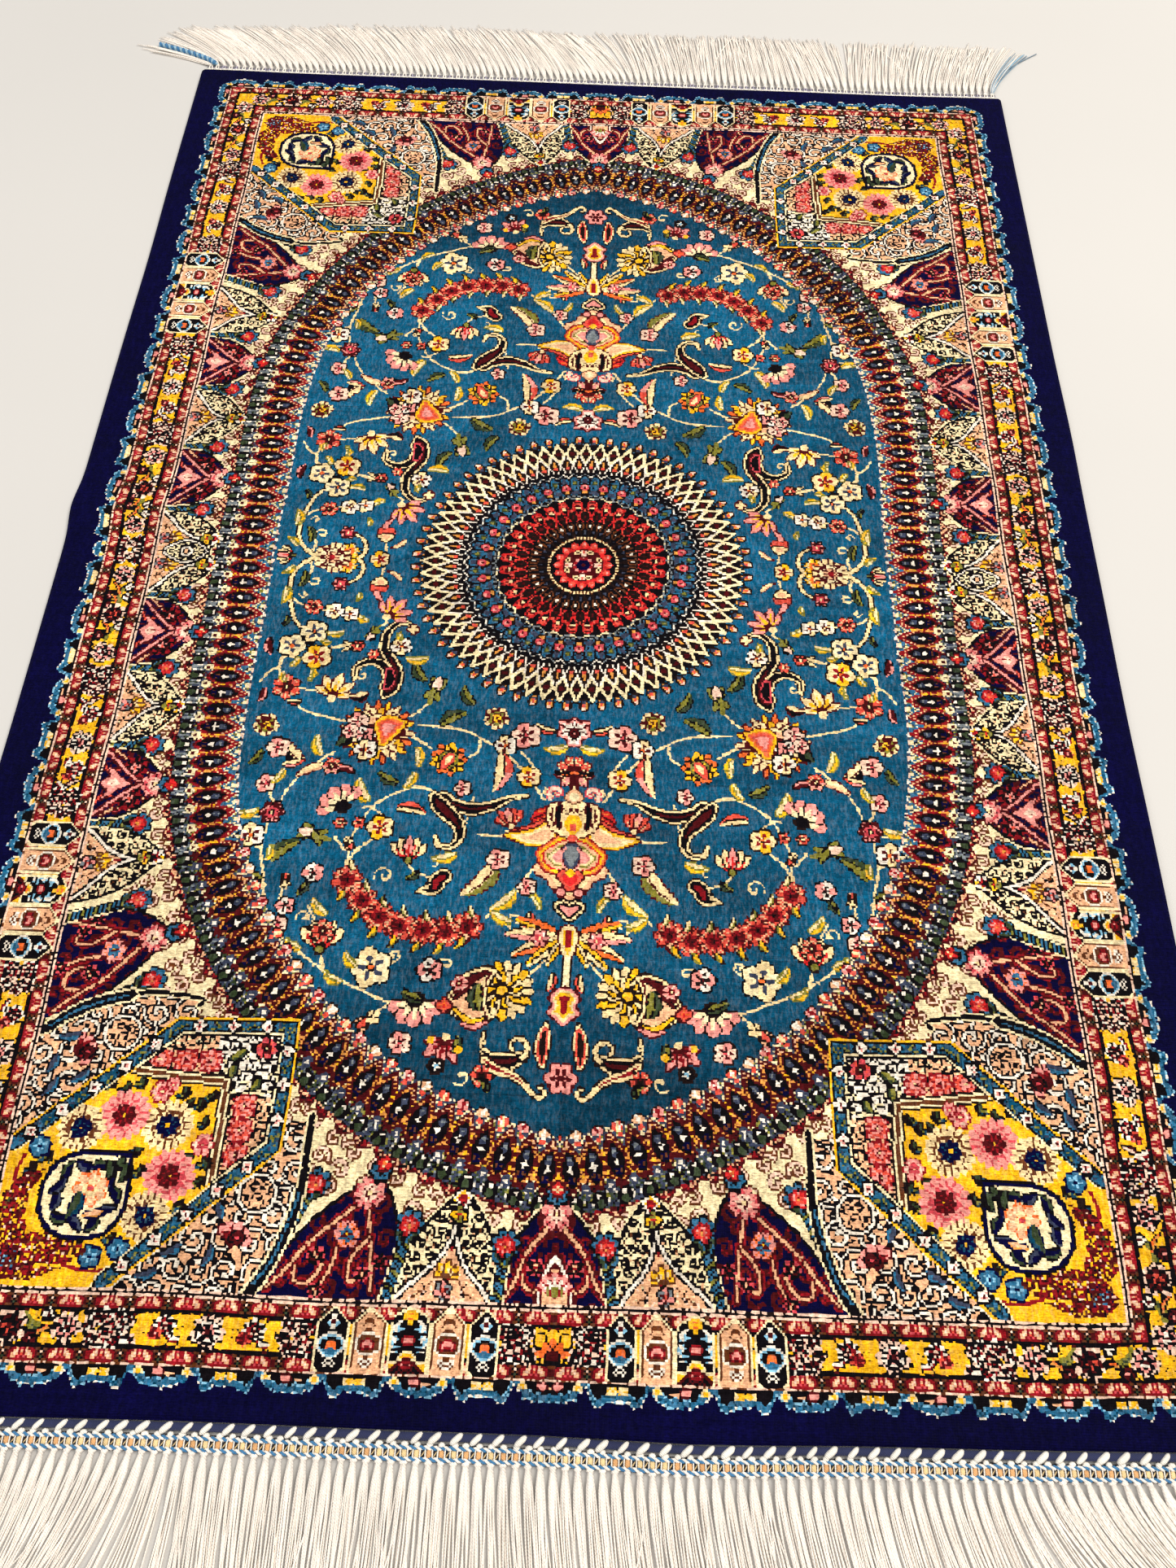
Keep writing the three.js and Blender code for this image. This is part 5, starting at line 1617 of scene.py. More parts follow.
def paint_half_palmette(chart):
    """The small dark bud, the spreading half palmette, the hanging bud and the last leaves."""
    chart.shape(both_sides([(0, 208.6), (4.6, 207.4), (8.4, 211), (5, 215.4), (0, 219.4)]),
                [(-0.7, BLACK), (0.5, CREAM), (1.5, BLACK), (2.9, PINK)])
    for lean, size, fill, shade in ((-24, 13, ORANGE, YELLOW), (-4, 14.5, CREAM, PINK),
                                    (20, 13.5, CREAM, ORANGE), (40, 11, YELLOW, CREAM),
                                    (62, 8, CREAM, YELLOW)):
        angle = math.radians(lean)
        chart.stamp(leaf, 2.5 + size * math.cos(angle), 229 + size * math.sin(angle), size, lean,
                    fill=fill, shade=shade, edge=UMBER, bend=-0.08, width=0.2, saw=0.14)
    chart.stamp(carnation, 14, 228.5, 4.6, petals=6, fill=PINK, inner=ROSE, light=WHITE,
                edge=MAROON)
    chart.shape(both_sides([(0, 221), (3.6, 223), (4.4, 229), (2.4, 236), (0, 239)]),
                [(-0.9, MAROON), (0.1, CREAM), (1.8, YELLOW)])
    chart.put((chart.x < 1.2) & band(chart.y, 224, 233), CRIMSON)
    chart.put((chart.x < 2.4) & band(chart.y, 239, 253), UMBER)
    chart.put((chart.x < 1.4) & band(chart.y, 238, 254), IVORY)
    chart.shape(both_sides([(0, 253), (4.4, 254.5), (7.4, 258.5), (5.4, 262), (7.6, 266),
                            (3.6, 268.6), (0, 271.6)]),
                [(-0.9, MAROON), (0.1, PINK), (1.3, CREAM), (2.5, YELLOW), (4.0, CRIMSON)])
    chart.shape([(7.6, 270), (11, 276), (12.4, 283), (11, 290), (8.6, 293), (6.6, 288),
                 (5.6, 281), (6, 275)], [(-0.8, UMBER), (0.0, CREAM), (0.8, CORAL), (1.7, UMBER)])


def paint_chart():
    chart = Chart()
    paint_spandrel_ground(chart)
    paint_field(chart)
    paint_ring(chart)
    paint_spandrels(chart)
    paint_corner(chart)
    paint_border(chart)
    paint_medallion(chart)
    quarter = chart.ink
    half = np.hstack([quarter[:, :0:-1], quarter])
    return np.vstack([half[:0:-1], half])


# Soft waves of the cloth's four edges: where each is centred along the edge, how far it
# reaches along it, and how far it pushes the edge outward.
LEFT_WAVES = [(27, 16, 2.4), (-210, 60, 0.9), (240, 55, -0.7)]
RIGHT_WAVES = [(110, 45, 0.8), (-90, 60, -0.8), (-300, 45, 0.9)]
NEAR_WAVES = [(62, 45, 1.6), (-150, 60, -0.7), (270, 60, -1.4)]
FAR_WAVES = [(-290, 45, 1.6), (60, 70, -0.9), (215, 70, -1.4)]
EDGE_REACH = 90.0
CORNER_RADIUS = 3.0

PILE_TOP = 2.95
PILE_EDGE_DROP = 1.0
PILE_EDGE_ROUND = 2.4
FOUNDATION_TOP = 1.5
FOUNDATION_INSET = 0.9
FOUNDATION_STEP = 4.5
FOUNDATION_EDGE = (34, 30, 44)
# Faces also end this many knots in from the long edges, where the pile rounds down. Then, how
# low the pile's sides are, and how much darker their colour is painted, as painted shade.
RIM_KNOTS = 2
WALL_FOOT = 0.1
WALL_PAINTED_SHADE = 0.8
# How much nearer than the cloth's middle the design's middle lies.
DESIGN_SHIFT = 5.0
KNOT_JITTER = 0.1
JITTER_LIMIT = 0.24
OUTLINE_LEAN = 0.25
RUN_LIMIT = 36
# How much the shade varies from row to row and from knot to knot.
ROW_SHADE = 0.02
KNOT_SHADE = 0.06
SHADE_LIMITS = (0.8, 1.2)
# Painted sheen and shade on the field: soft lighter and darker areas, as wide as a few knots, and
# painted shade that darkens it towards both ends.
PAINTED_SHEEN = 0.3
WIDE_PATCHES = 34
SMALL_PATCHES = 9
SMALL_PATCH_SHARE = 0.6
PAINTED_DUSK = 0.42
DUSK_START = 225.0
DUSK_REACH = 70.0
# The pile's pieces, each between two columns of knots.
PILE_STRIPS = [("pile_border_left", 0, 119), ("pile_field_left", 119, 300),
               ("pile_field_right", 300, 482), ("pile_border_right", 482, 601)]

rng = np.random.default_rng(7)


def edge_push(waves, place):
    return sum(push * np.exp(-((place - at) / reach) ** 2) for at, reach, push in waves)


def ease(value):
    value = np.clip(value, 0, 1)
    return value * value * (3 - 2 * value)


def lay_out(x, y):
    """Where a place of the chart lies on the floor, with the cloth's uneven edges and rows."""
    half_x = CLOTH_WIDTH / 2
    half_y = CLOTH_LENGTH / 2
    corner_x = np.clip(np.abs(x) - half_x + CORNER_RADIUS, 0, None)
    corner_y = np.clip(np.abs(y) - half_y + CORNER_RADIUS, 0, None)
    reach = np.hypot(corner_x, corner_y)
    pull = np.where(reach > 0, 1 - np.maximum(corner_x, corner_y) / np.maximum(reach, 1e-6), 0)
    x = x - np.sign(x) * corner_x * pull
    y = y - np.sign(y) * corner_y * pull
    inner = np.clip((half_x - np.abs(x)) / 30, 0, 1) * np.clip((half_y - np.abs(y)) / 30, 0, 1)
    middle = y - DESIGN_SHIFT * (1 - (y / half_y) ** 2)
    wander_x = 0.5 * np.sin(y / 31 + 1.3) * np.cos(x / 57) + 0.35 * np.sin(y / 13.7 + x / 80)
    wander_y = 0.6 * np.sin(x / 43 + 0.4) * np.cos(y / 66) + 0.3 * np.sin(x / 17.3 - y / 90)
    out_x = (x + inner * wander_x
             + ease((x - half_x) / EDGE_REACH + 1) * edge_push(RIGHT_WAVES, middle)
             - ease((-x - half_x) / EDGE_REACH + 1) * edge_push(LEFT_WAVES, middle))
    out_y = (middle + inner * wander_y
             + ease((y - half_y) / EDGE_REACH + 1) * edge_push(FAR_WAVES, x)
             - ease((-y - half_y) / EDGE_REACH + 1) * edge_push(NEAR_WAVES, x))
    return out_x, out_y


def pile_height(x, y):
    """The pile's top at a place of the chart: nearly flat, and rounded off along the edges."""
    edge = np.minimum(CLOTH_WIDTH / 2 - np.abs(x), CLOTH_LENGTH / 2 - np.abs(y))
    rounding = PILE_EDGE_DROP * (1 - np.clip(edge / PILE_EDGE_ROUND, 0, 1)) ** 2
    sway = 0.12 * np.sin(x / 61 + 0.8) * np.sin(y / 83) + 0.06 * np.sin(x / 23 + y / 37)
    return PILE_TOP + sway - rounding


def to_linear(colour):
    """An sRGB colour, 0 to 255, as linear light."""
    share = np.asarray(colour, float) / 255
    return np.where(share <= 0.04045, share / 12.92, ((share + 0.055) / 1.055) ** 2.4)


def linear_dyes():
    return to_linear([DYES[ink] for ink in range(len(DYES))])


def add_mesh(name, vertices, loops, sizes, colours, uvs, smooth_faces=False):
    """A mesh object from flat arrays. The colours are linear, one for each face, and the flat
    map has one place for each corner."""
    mesh = bpy.data.meshes.new(name)
    mesh.vertices.add(len(vertices))
    mesh.vertices.foreach_set("co", (np.asarray(vertices) * MM).astype(np.float32).ravel())
    mesh.loops.add(len(loops))
    mesh.loops.foreach_set("vertex_index", np.asarray(loops, np.int32))
    mesh.polygons.add(len(sizes))
    starts = np.concatenate([[0], np.cumsum(sizes)[:-1]]).astype(np.int32)
    mesh.polygons.foreach_set("loop_start", starts)
    mesh.polygons.foreach_set("use_smooth", np.full(len(sizes), smooth_faces))
    dye = mesh.attributes.new("dye", "FLOAT_COLOR", "FACE")
    rgba = np.ones((len(sizes), 4), np.float32)
    rgba[:, :3] = colours
    dye.data.foreach_set("color", rgba.ravel())
    flat_map = mesh.uv_layers.new(name="OFBake")
    flat_map.data.foreach_set("uv", np.asarray(uvs, np.float32).ravel())
    mesh.update(calc_edges=True)
    mesh.validate()
    made = bpy.data.objects.new(name, mesh)
    bpy.context.scene.collection.objects.link(made)
    return made


def run_ends(ink, first, last):
    """Where the faces of each row of knots end: where the ink changes, beside the cloth's own
    edges, and often enough that no face gets too long."""
    columns = ink.shape[1]
    breaks = ink[:, 1:] != ink[:, :-1]
    fixed = [first, last] + [RIM_KNOTS] * (first == 0) + [columns - RIM_KNOTS] * (last == columns)
    edges = []
    for row_breaks in breaks[:, first:last - 1]:
        ends = np.union1d(fixed, np.flatnonzero(row_breaks) + first + 1).astype(int)
        pieces = [np.linspace(a, b, 2 + (b - a) // RUN_LIMIT).astype(int)
                  for a, b in zip(ends[:-1], ends[1:]) if b - a > RUN_LIMIT]
        edges.append(np.unique(np.concatenate([ends] + pieces)))
    return edges


def strip_faces(edges, used, bases):
    """The corners of every face of a strip, and how many each face has."""
    loops = []
    sizes = []
    for row, ends in enumerate(edges):
        low = np.searchsorted(used[row], ends) + bases[row]
        high = np.searchsorted(used[row + 1], ends) + bases[row + 1]
        for k in range(len(ends) - 1):
            loops.append(np.arange(low[k], low[k + 1] + 1))
            loops.append(np.arange(high[k + 1], high[k] - 1, -1))
        sizes.append(np.diff(low) + np.diff(high) + 2)
    return np.concatenate(loops), np.concatenate(sizes)


def strip_walls(vertices, runs):
    """The pile's sides below runs of corners along the cloth's own edges."""
    feet = []
    faces = []
    count = len(vertices)
    for run in runs:
        foot = vertices[run].copy()
        foot[:, 2] = WALL_FOOT
        feet.append(foot)
        below = np.arange(len(run)) + count
        count += len(run)
        faces.append(np.column_stack([below[1:], below[:-1], run[:-1], run[1:]]))
    return np.vstack(feet), np.vstack(faces)


def strip_map(place, far_half):
    """The flat map of a strip: its near half and its far half lie side by side."""
    left, right = place[:, 0].min(), place[:, 0].max()
    across = (place[:, 0] - left) / (right - left)
    half_length = CLOTH_LENGTH / 2
    along = (place[:, 1] + np.where(far_half, 8.0, half_length + 8)) / (half_length + 16)
    return np.column_stack([(0.01 + 0.98 * across + far_half) / 2, along])


def knot_strip(name, ink, first, last, jitter, shades):
    """The pile between two columns of knots. Knots of one colour that lie side by side in a row
    are one face, and rows share their corners."""
    rows, columns = ink.shape
    edges = run_ends(ink, first, last)
    used = [edges[0]] + [np.union1d(*pair) for pair in zip(edges[:-1], edges[1:])] + [edges[-1]]
    counts = [len(places) for places in used]
    bases = np.cumsum([0] + counts)
    column = np.concatenate(used)
    line = np.repeat(np.arange(rows + 1), counts)
    x = column * KNOT_X - CLOTH_WIDTH / 2
    y = line * KNOT_Y - CLOTH_LENGTH / 2
    free = (column > 0) & (column < columns) & (line > 0) & (line < rows)
    out_x, out_y = lay_out(x + jitter[0][line, column] * free, y + jitter[1][line, column] * free)
    vertices = np.column_stack([out_x, out_y, pile_height(x, y)])
    loops, sizes = strip_faces(edges, used, bases)
    face_rows = np.repeat(np.arange(rows), [len(ends) - 1 for ends in edges])
    starts = np.concatenate([ends[:-1] for ends in edges])
    dyes = linear_dyes()
    colours = dyes[ink[face_rows, starts]] * shades[face_rows, starts][:, None]

    runs = [np.arange(bases[1] - 1, -1, -1), np.arange(bases[rows], bases[rows + 1])]
    if last == columns:
        runs.insert(0, (bases[1:] - 1)[::-1])
    if first == 0:
        runs.insert(0, bases[:-1])
    feet, walls = strip_walls(vertices, runs)
    wall_rows = np.concatenate([np.minimum(line[run[:-1]], rows - 1) for run in runs])
    vertices = np.vstack([vertices, feet])
    loops = np.concatenate([loops, walls.ravel()])
    sizes = np.concatenate([sizes, np.full(len(walls), 4)])
    # The pile's sides: the navy dye painted darker, as painted shade.
    colours = np.vstack([colours, np.tile(dyes[NAVY] * WALL_PAINTED_SHADE, (len(walls), 1))])
    far_half = np.repeat(np.concatenate([face_rows, wall_rows]), sizes) >= rows // 2
    return add_mesh(name, vertices, loops, sizes, colours, strip_map(vertices[loops], far_half))


def foundation_slab(ink):
    """The woven back under the knots, which shows the design blurred on its underside."""
    columns = int(CLOTH_WIDTH / FOUNDATION_STEP)
    rows = int(CLOTH_LENGTH / FOUNDATION_STEP)
    half_x = CLOTH_WIDTH / 2 - FOUNDATION_INSET
    half_y = CLOTH_LENGTH / 2 - FOUNDATION_INSET
    x, y = np.meshgrid(np.linspace(-half_x, half_x, columns + 1),
                       np.linspace(-half_y, half_y, rows + 1))
    out_x, out_y = lay_out(x, y)
    under = np.column_stack([out_x.ravel(), out_y.ravel(), np.zeros(x.size)])
    index = np.arange(x.size).reshape(x.shape)
    quads = np.stack([index[:-1, :-1], index[1:, :-1], index[1:, 1:], index[:-1, 1:]], axis=-1)
    # Each face underneath has the mean colour of the knots above it.
    row_at = np.linspace(0, ink.shape[0], rows + 1).astype(int)
    column_at = np.linspace(0, ink.shape[1], columns + 1).astype(int)
    colour = linear_dyes()[ink]
    sums = np.add.reduceat(np.add.reduceat(colour, row_at[:-1], axis=0), column_at[:-1], axis=1)
    area = np.diff(row_at)[:, None] * np.diff(column_at)[None, :]
    blurred = (sums / area[..., None]).reshape(-1, 3)

    rim = np.concatenate([index[0, :-1], index[:-1, -1], index[-1, :0:-1], index[:0:-1, 0]])
    top = under[rim].copy()
    top[:, 2] = FOUNDATION_TOP
    raised = np.arange(len(rim)) + len(under)
    walls = np.column_stack([rim, np.roll(rim, -1), np.roll(raised, -1), raised])
    vertices = np.vstack([under, top])
    loops = np.concatenate([quads.ravel(), walls.ravel(), raised])
    sizes = np.concatenate([np.full(columns * rows, 4), np.full(len(rim), 4), [len(rim)]])
    edge_colour = np.tile(to_linear(FOUNDATION_EDGE), (len(rim) + 1, 1))
    uvs = vertices[loops][:, :2] / (CLOTH_WIDTH + 20, CLOTH_LENGTH + 21) + 0.5
    return add_mesh("foundation_weave", vertices, loops, sizes,
                    np.vstack([blurred, edge_colour]), uvs)


def unit(vectors):
    return vectors / np.maximum(np.linalg.norm(vectors, axis=1, keepdims=True), 1e-9)


def wrapped(ids):
    """The four-cornered faces between rows of corners that close round on themselves."""
    following = np.roll(ids, -1, axis=1)
    return np.stack([ids[:-1], ids[1:], following[1:], following[:-1]], axis=-1).reshape(-1, 4)


class Strands:
    """Collects tubes and beads of yarn into one mesh with a colour for each face."""

    def __init__(self):
        self.vertices = []
        self.loops = []
        self.sizes = []
        self.colours = []
        self.count = 0

    def add(self, vertices, *groups):
        """Adds vertices, and groups of (faces, colours). The faces of a group have the same
        number of corners, and one colour each or one for all."""
        for faces, colours in groups:
            faces = np.asarray(faces)
            self.loops.append((faces + self.count).ravel())
            self.sizes.append(np.full(len(faces), faces.shape[1]))
            self.colours.append(np.broadcast_to(np.asarray(colours, float), (len(faces), 3)))
        self.vertices.append(vertices)
        self.count += len(vertices)

    def tube(self, path, radius, colour, sides=4, flat=1.0, turn=0.0, shades=None):
        """A closed tube along a path, its height scaled by flat. The radius may vary along it,
        and so may its shade."""
        radius = np.broadcast_to(np.asarray(radius, float), (len(path),))
        along = unit(np.gradient(path, axis=0))
        side = unit(np.cross(along, [0.0, 0.0, 1.0]))
        rise = np.cross(side, along)
        angle = (np.arange(sides) * 2 * math.pi / sides + turn)[None, :, None]
        rings = (path[:, None, :]
                 + radius[:, None, None] * (np.cos(angle) * side[:, None, :]
                                            + flat * np.sin(angle) * rise[:, None, :]))
        ids = np.arange(len(path) * sides).reshape(len(path), sides)
        colours = np.tile(colour, (len(path) - 1, 1))
        if shades is not None:
            colours = colours * shades[:, None]
        self.add(rings.reshape(-1, 3), (wrapped(ids), np.repeat(colours, sides, axis=0)),
                 (np.array([ids[0], ids[-1][::-1]]), colours[[0, -1]]))

    def bead(self, centre, size, colour, around=7, rings=4):
        """A knot of yarn: a rounded lump."""
        share = np.linspace(0, math.pi, rings + 1)[1:-1]
        angle = np.arange(around) * 2 * math.pi / around
        ring = np.stack([np.outer(np.sin(share), np.cos(angle)),
                         np.outer(np.sin(share), np.sin(angle)),
                         np.outer(np.cos(share), np.ones(around))], axis=-1).reshape(-1, 3)
        points = np.vstack([ring, [[0, 0, 1], [0, 0, -1]]]) * size
        ids = np.arange(len(ring)).reshape(rings - 1, around)
        following = np.roll(ids, -1, axis=1)
        top = np.column_stack([ids[0], following[0], np.full(around, len(ring))])
        foot = np.column_stack([following[-1], ids[-1], np.full(around, len(ring) + 1)])
        self.add(points + centre, (wrapped(ids), colour), (np.vstack([top, foot]), colour))

    def build(self, name):
        vertices = np.vstack(self.vertices)
        loops = np.concatenate(self.loops)
        low = vertices.min(axis=0)
        span = vertices.max(axis=0) - low
        place = vertices[loops]
        uvs = 0.01 + 0.98 * (place[:, :2] - low[:2]) / span[:2]
        return add_mesh(name, vertices, loops, np.concatenate(self.sizes),
                        np.vstack(self.colours), uvs, smooth_faces=True)


# The ends of the rug, as in the frame.
ROLL_DEPTH = 3.4
ROLL_HEIGHT = 2.4
NEAR_HEADING = 7.8
FAR_HEADING = 6.4
HEADING_INSET = 3.0
HEADING_HALF = CLOTH_WIDTH / 2 - HEADING_INSET
NEAR_START = PIECE_GAP + ROLL_DEPTH + PIECE_GAP
STITCH_PITCH = 8.5

# The bunches of the fringe and the threads of each, more in the last ones. The threads start
# a little inside the heading, and a few stray far to one side.
BUNCHES = 118
BUNCH_PITCH = (CLOTH_WIDTH - 2 * HEADING_INSET) / BUNCHES
CORD_TWIST = BUNCH_PITCH * 0.8
THREADS = 8
END_THREADS = 15
THREAD_RADIUS = 0.43
THREAD_STEPS = 11
THREAD_TUCK = 0.6
STRAY = 2.0
FAR_STRAY = 11.0
FAR_STRAY_SHARE = 0.05

# How the bunches lie: for a root at x, the sideways shift of the tip and how far out it reaches.
NEAR_LAY = [
    (-300, -24, 57), (-220, -15, 60), (-171, -24, 57), (-138, 1, 62), (-60, -2, 62), (0, 8, 61),
    (120, 15, 60), (175, 21, 58), (205, 38, 50), (300, 46, 44),
]
FAR_LAY = [
    (-300, -41, 10), (-293, -48, 20), (-288, -47, 35), (-280, -45, 46), (-220, -42, 51),
    (-160, -32, 56), (-65, -27, 59), (12, -33, 57), (32, -14, 60), (95, -4, 61), (176, -14, 59),
    (192, 4, 59), (262, 14, 58), (284, 18, 57), (290, 22, 57), (295, 30, 54), (300, 34, 52),
]

OFF_WHITE = to_linear((252, 241, 228))
WARM_WHITE = to_linear((254, 246, 232))
YARN_BLUE = to_linear((62, 122, 168))
PALE_BLUE = to_linear((150, 186, 206))
GREY_BLUE = to_linear((110, 132, 150))
ROLL_NAVY = to_linear((36, 42, 78))
TAN_YARN = to_linear((226, 170, 112))
CREAM_YARN = to_linear((240, 208, 150))
DARK_YARN = to_linear((38, 34, 40))
LAVENDER = to_linear((176, 168, 186))


def near_edge(x):
    return -CLOTH_LENGTH / 2 - edge_push(NEAR_WAVES, x)


def far_edge(x):
    return CLOTH_LENGTH / 2 + edge_push(FAR_WAVES, x)


def read_lay(rows, x):
    """How the bunch rooted at x lies, eased between the rows of the table."""
    for before, after in zip(rows[:-1], rows[1:]):
        if x <= after[0]:
            share = float(ease((x - before[0]) / (after[0] - before[0])))
            return (before[1] + (after[1] - before[1]) * share,
                    before[2] + (after[2] - before[2]) * share)
    return rows[-1][1], rows[-1][2]


def thread_line(root, outward, lay, along):
    """Where a thread's middle line runs in plan from its root, and how it leans."""
    side, out = read_lay(lay, root[0])
    return (root[0] + side * along ** 1.35, root[1] + outward * out * along ** 0.94,
            side, np.hypot(side, out))


def bunch_place(index):
    return -HEADING_HALF + (index + 0.5) * BUNCH_PITCH


def fringe_threads(strands, edge, outward, start, lay, colour_of):
    """Bunches of twisted threads that lie on the floor beyond a heading."""
    t = np.linspace(0, 1, THREAD_STEPS)
    for index in range(BUNCHES):
        root_x = bunch_place(index)
        root = (root_x, edge(root_x) + outward * (start - THREAD_TUCK))
        length = 1 + 0.04 * math.sin(index * 2.4) * math.cos(index * 0.7)
        last = index in (0, BUNCHES - 1)
        count = END_THREADS if last else THREADS
        for k in range(count):
            place = (k + 0.5) / count * 2 - 1
            stray = (rng.normal(0, STRAY)
                     + (rng.normal(0, FAR_STRAY) if rng.random() < FAR_STRAY_SHARE else 0))
            along = t * (length * (1 + rng.normal(0, 0.032)))
            x, y, side, run = thread_line(root, outward, lay, along)
            spread = place * (0.75 + 1.3 * ease(along * 7) + (2.9 if last else 0.35) * along)
            wave = 0.22 * np.sin(along * rng.uniform(4, 9) + rng.uniform(0, 6.3))
            out = np.sqrt(run * run - side * side)
            x = x + stray * along ** 2 + spread * out / run + wave * ease(along * 3)
            y = y - outward * spread * side / run
            level = rng.uniform(THREAD_RADIUS, 1.5)
            root_level = 1.2 + 0.45 * math.cos(place * 1.4)
            z = root_level + (level - root_level) * ease(along * 3.2)
            z = np.maximum(z + 0.1 * np.sin(along * 8 + index + k), THREAD_RADIUS)
            z[-1] = min(z[-1], 0.8)
            shade = rng.uniform(0.94, 1.08)
            radius = THREAD_RADIUS * rng.uniform(0.86, 1.1) * (1 - 0.12 * t)
            # Painted shade: a bunch is darker where its outer threads tuck under the next one.
            tuck_shade = 1 - 0.3 * abs(place) ** 3 * (1 - ease(t[:-1] * 2.2))
            strands.tube(np.column_stack([x, y, z]), radius, colour_of(index, k) * shade,
                         turn=rng.uniform(0, 1.5), shades=tuck_shade)


def twined_cord(strands, path, radius, first, second, pitch):
    """Two plies wound round each other along a path."""
    run = np.gradient(path, axis=0)
    run /= np.linalg.norm(run, axis=1, keepdims=True)
    side = np.column_stack([-run[:, 1], run[:, 0], np.zeros(len(path))])
    steps = np.linalg.norm(np.diff(path, axis=0), axis=1)
    turned = np.concatenate([[0], np.cumsum(steps)]) * 2 * math.pi / pitch
    for ply, colour in ((0, first), (math.pi, second)):
        wound = path + side * (radius * 0.55 * np.cos(turned + ply))[:, None]
        wound[:, 2] += radius * 0.5 * np.sin(turned + ply)
        strands.tube(wound, radius * 0.62, colour, sides=5)


def level_line(x, y, height):
    return np.column_stack([x, y, np.full(x.shape, height)])


def overcast_roll():
    """The dark blue plain-woven roll, with off-white stitches that slant over it."""
    roll = Strands()
    x = np.linspace(-HEADING_HALF, HEADING_HALF, 150)
    middle = PIECE_GAP + ROLL_DEPTH / 2
    roll.tube(level_line(x, near_edge(x) - middle, ROLL_HEIGHT * 0.46), ROLL_DEPTH * 0.47,
              ROLL_NAVY, sides=10, flat=0.74, shades=0.9 + 0.2 * rng.random(len(x) - 1))
    s = np.linspace(-1, 1, 8)
    for index in range(int(2 * HEADING_HALF / STITCH_PITCH)):
        at = -HEADING_HALF + (index + 0.6 + rng.uniform(-0.08, 0.08)) * STITCH_PITCH
        size = rng.uniform(0.85, 1.12)
        path = np.column_stack([at + s * 2.3 * size, near_edge(at) - middle - 0.5 + s * 1.9,
                                ROLL_HEIGHT * (0.46 + 0.56 * np.sqrt(1 - 0.85 * s * s))])
        roll.tube(path, 1.3 * size * (1 - 0.5 * s ** 4), WARM_WHITE * rng.uniform(0.9, 1.0),
                  sides=6, flat=0.72)
    return roll.build("overcast_roll")


def near_heading():
    """The near woven heading: two twined cords, and for each bunch a tan block between two
    white bars, a short tick, and a knot on each side."""
    heading = Strands()
    x = np.linspace(-HEADING_HALF, HEADING_HALF, BUNCHES * 6)
    y = near_edge(x) - NEAR_START
    heading.tube(level_line(x, y - NEAR_HEADING * 0.5, 0.62), NEAR_HEADING * 0.42, DARK_YARN,
                 flat=0.14)
    for depth in (2.0, 6.1):
        twined_cord(heading, level_line(x, y - depth, 1.3), 0.95, YARN_BLUE, OFF_WHITE, CORD_TWIST)
    s = np.linspace(0, 1, 4)
    for index in range(BUNCHES):
        at = bunch_place(index)
        edge = near_edge(at) - NEAR_START
        lean = rng.uniform(-0.3, 0.3)
        for side in (-1.45, 1.45):
            bar = np.column_stack([at + side + lean * (s - 0.5), edge - 1.4 - 5.2 * s,
                                   1.15 + 0.9 * np.sin(math.pi * s)])
            heading.tube(bar, 0.3, WARM_WHITE * rng.uniform(0.85, 1.0), flat=0.8)
        block = np.column_stack([np.full(4, at), edge - 2.9 - 2.5 * s,
                                 1.2 + 0.25 * np.sin(math.pi * s)])
        tan = TAN_YARN if rng.random() < 0.5 else CREAM_YARN
        heading.tube(block, 1.15, tan * rng.uniform(0.88, 1.08), sides=6, flat=0.5)
        tick = level_line(at + BUNCH_PITCH / 2 + 0.7 - 1.4 * s, edge - 3.2 - 1.9 * s, 1.1)
        heading.tube(tick, 0.26, CREAM_YARN)
        heading.bead((at + rng.uniform(-0.4, 0.4), edge - 0.8, 1.35),
                     (1.6 * rng.uniform(0.85, 1.1), 1.15, 0.95), WARM_WHITE * rng.uniform(0.92, 1))
        heading.bead((at, edge - 7.3, 1.15), (1.7 * rng.uniform(0.9, 1.1), 1.15, 1.0),
                     OFF_WHITE * rng.uniform(0.9, 1.02))
    return heading.build("heading_near")


def far_heading():
    """The far heading: a twined white cord, and two loops and two knots for each bunch."""
    heading = Strands()
    x = np.linspace(-HEADING_HALF, HEADING_HALF, BUNCHES * 3)
    y = far_edge(x) + PIECE_GAP
    heading.tube(level_line(x, y + FAR_HEADING * 0.5, 0.6), FAR_HEADING * 0.42, LAVENDER * 0.5,
                 flat=0.16)
    twined_cord(heading, level_line(x, y + 1.1, 1.1), 0.85, WARM_WHITE, OFF_WHITE, CORD_TWIST)
    s = np.linspace(0, 1, 5)
    for index in range(BUNCHES):
        at = bunch_place(index)
        edge = far_edge(at) + PIECE_GAP
        for side in (-0.24, 0.24):
            loop = np.column_stack([at + side * BUNCH_PITCH * (1 - 0.5 * s) + rng.uniform(-0.2, 0.2),
                                    edge + 1.4 + 4.2 * s, 1.3 + 0.3 * np.sin(math.pi * s)])
            tone = WARM_WHITE if rng.random() < 0.75 else LAVENDER
            heading.tube(loop, 0.5, tone * rng.uniform(0.85, 1.0), sides=5, flat=0.75)
        heading.bead((at + rng.uniform(-0.5, 0.5), edge + 0.9, 1.35),
                     (1.75 * rng.uniform(0.8, 1.15), 1.1, 0.9), WARM_WHITE * rng.uniform(0.94, 1))
        heading.bead((at, edge + 5.8, 1.15), (1.5 * rng.uniform(0.9, 1.1), 1.1, 0.95),
                     OFF_WHITE * rng.uniform(0.88, 1.0))
    return heading.build("heading_far")


def near_fringe():
    threads = Strands()
    fringe_threads(threads, near_edge, -1, NEAR_START + NEAR_HEADING, NEAR_LAY,
                   lambda index, k: OFF_WHITE)
    return threads.build("fringe_threads_near")


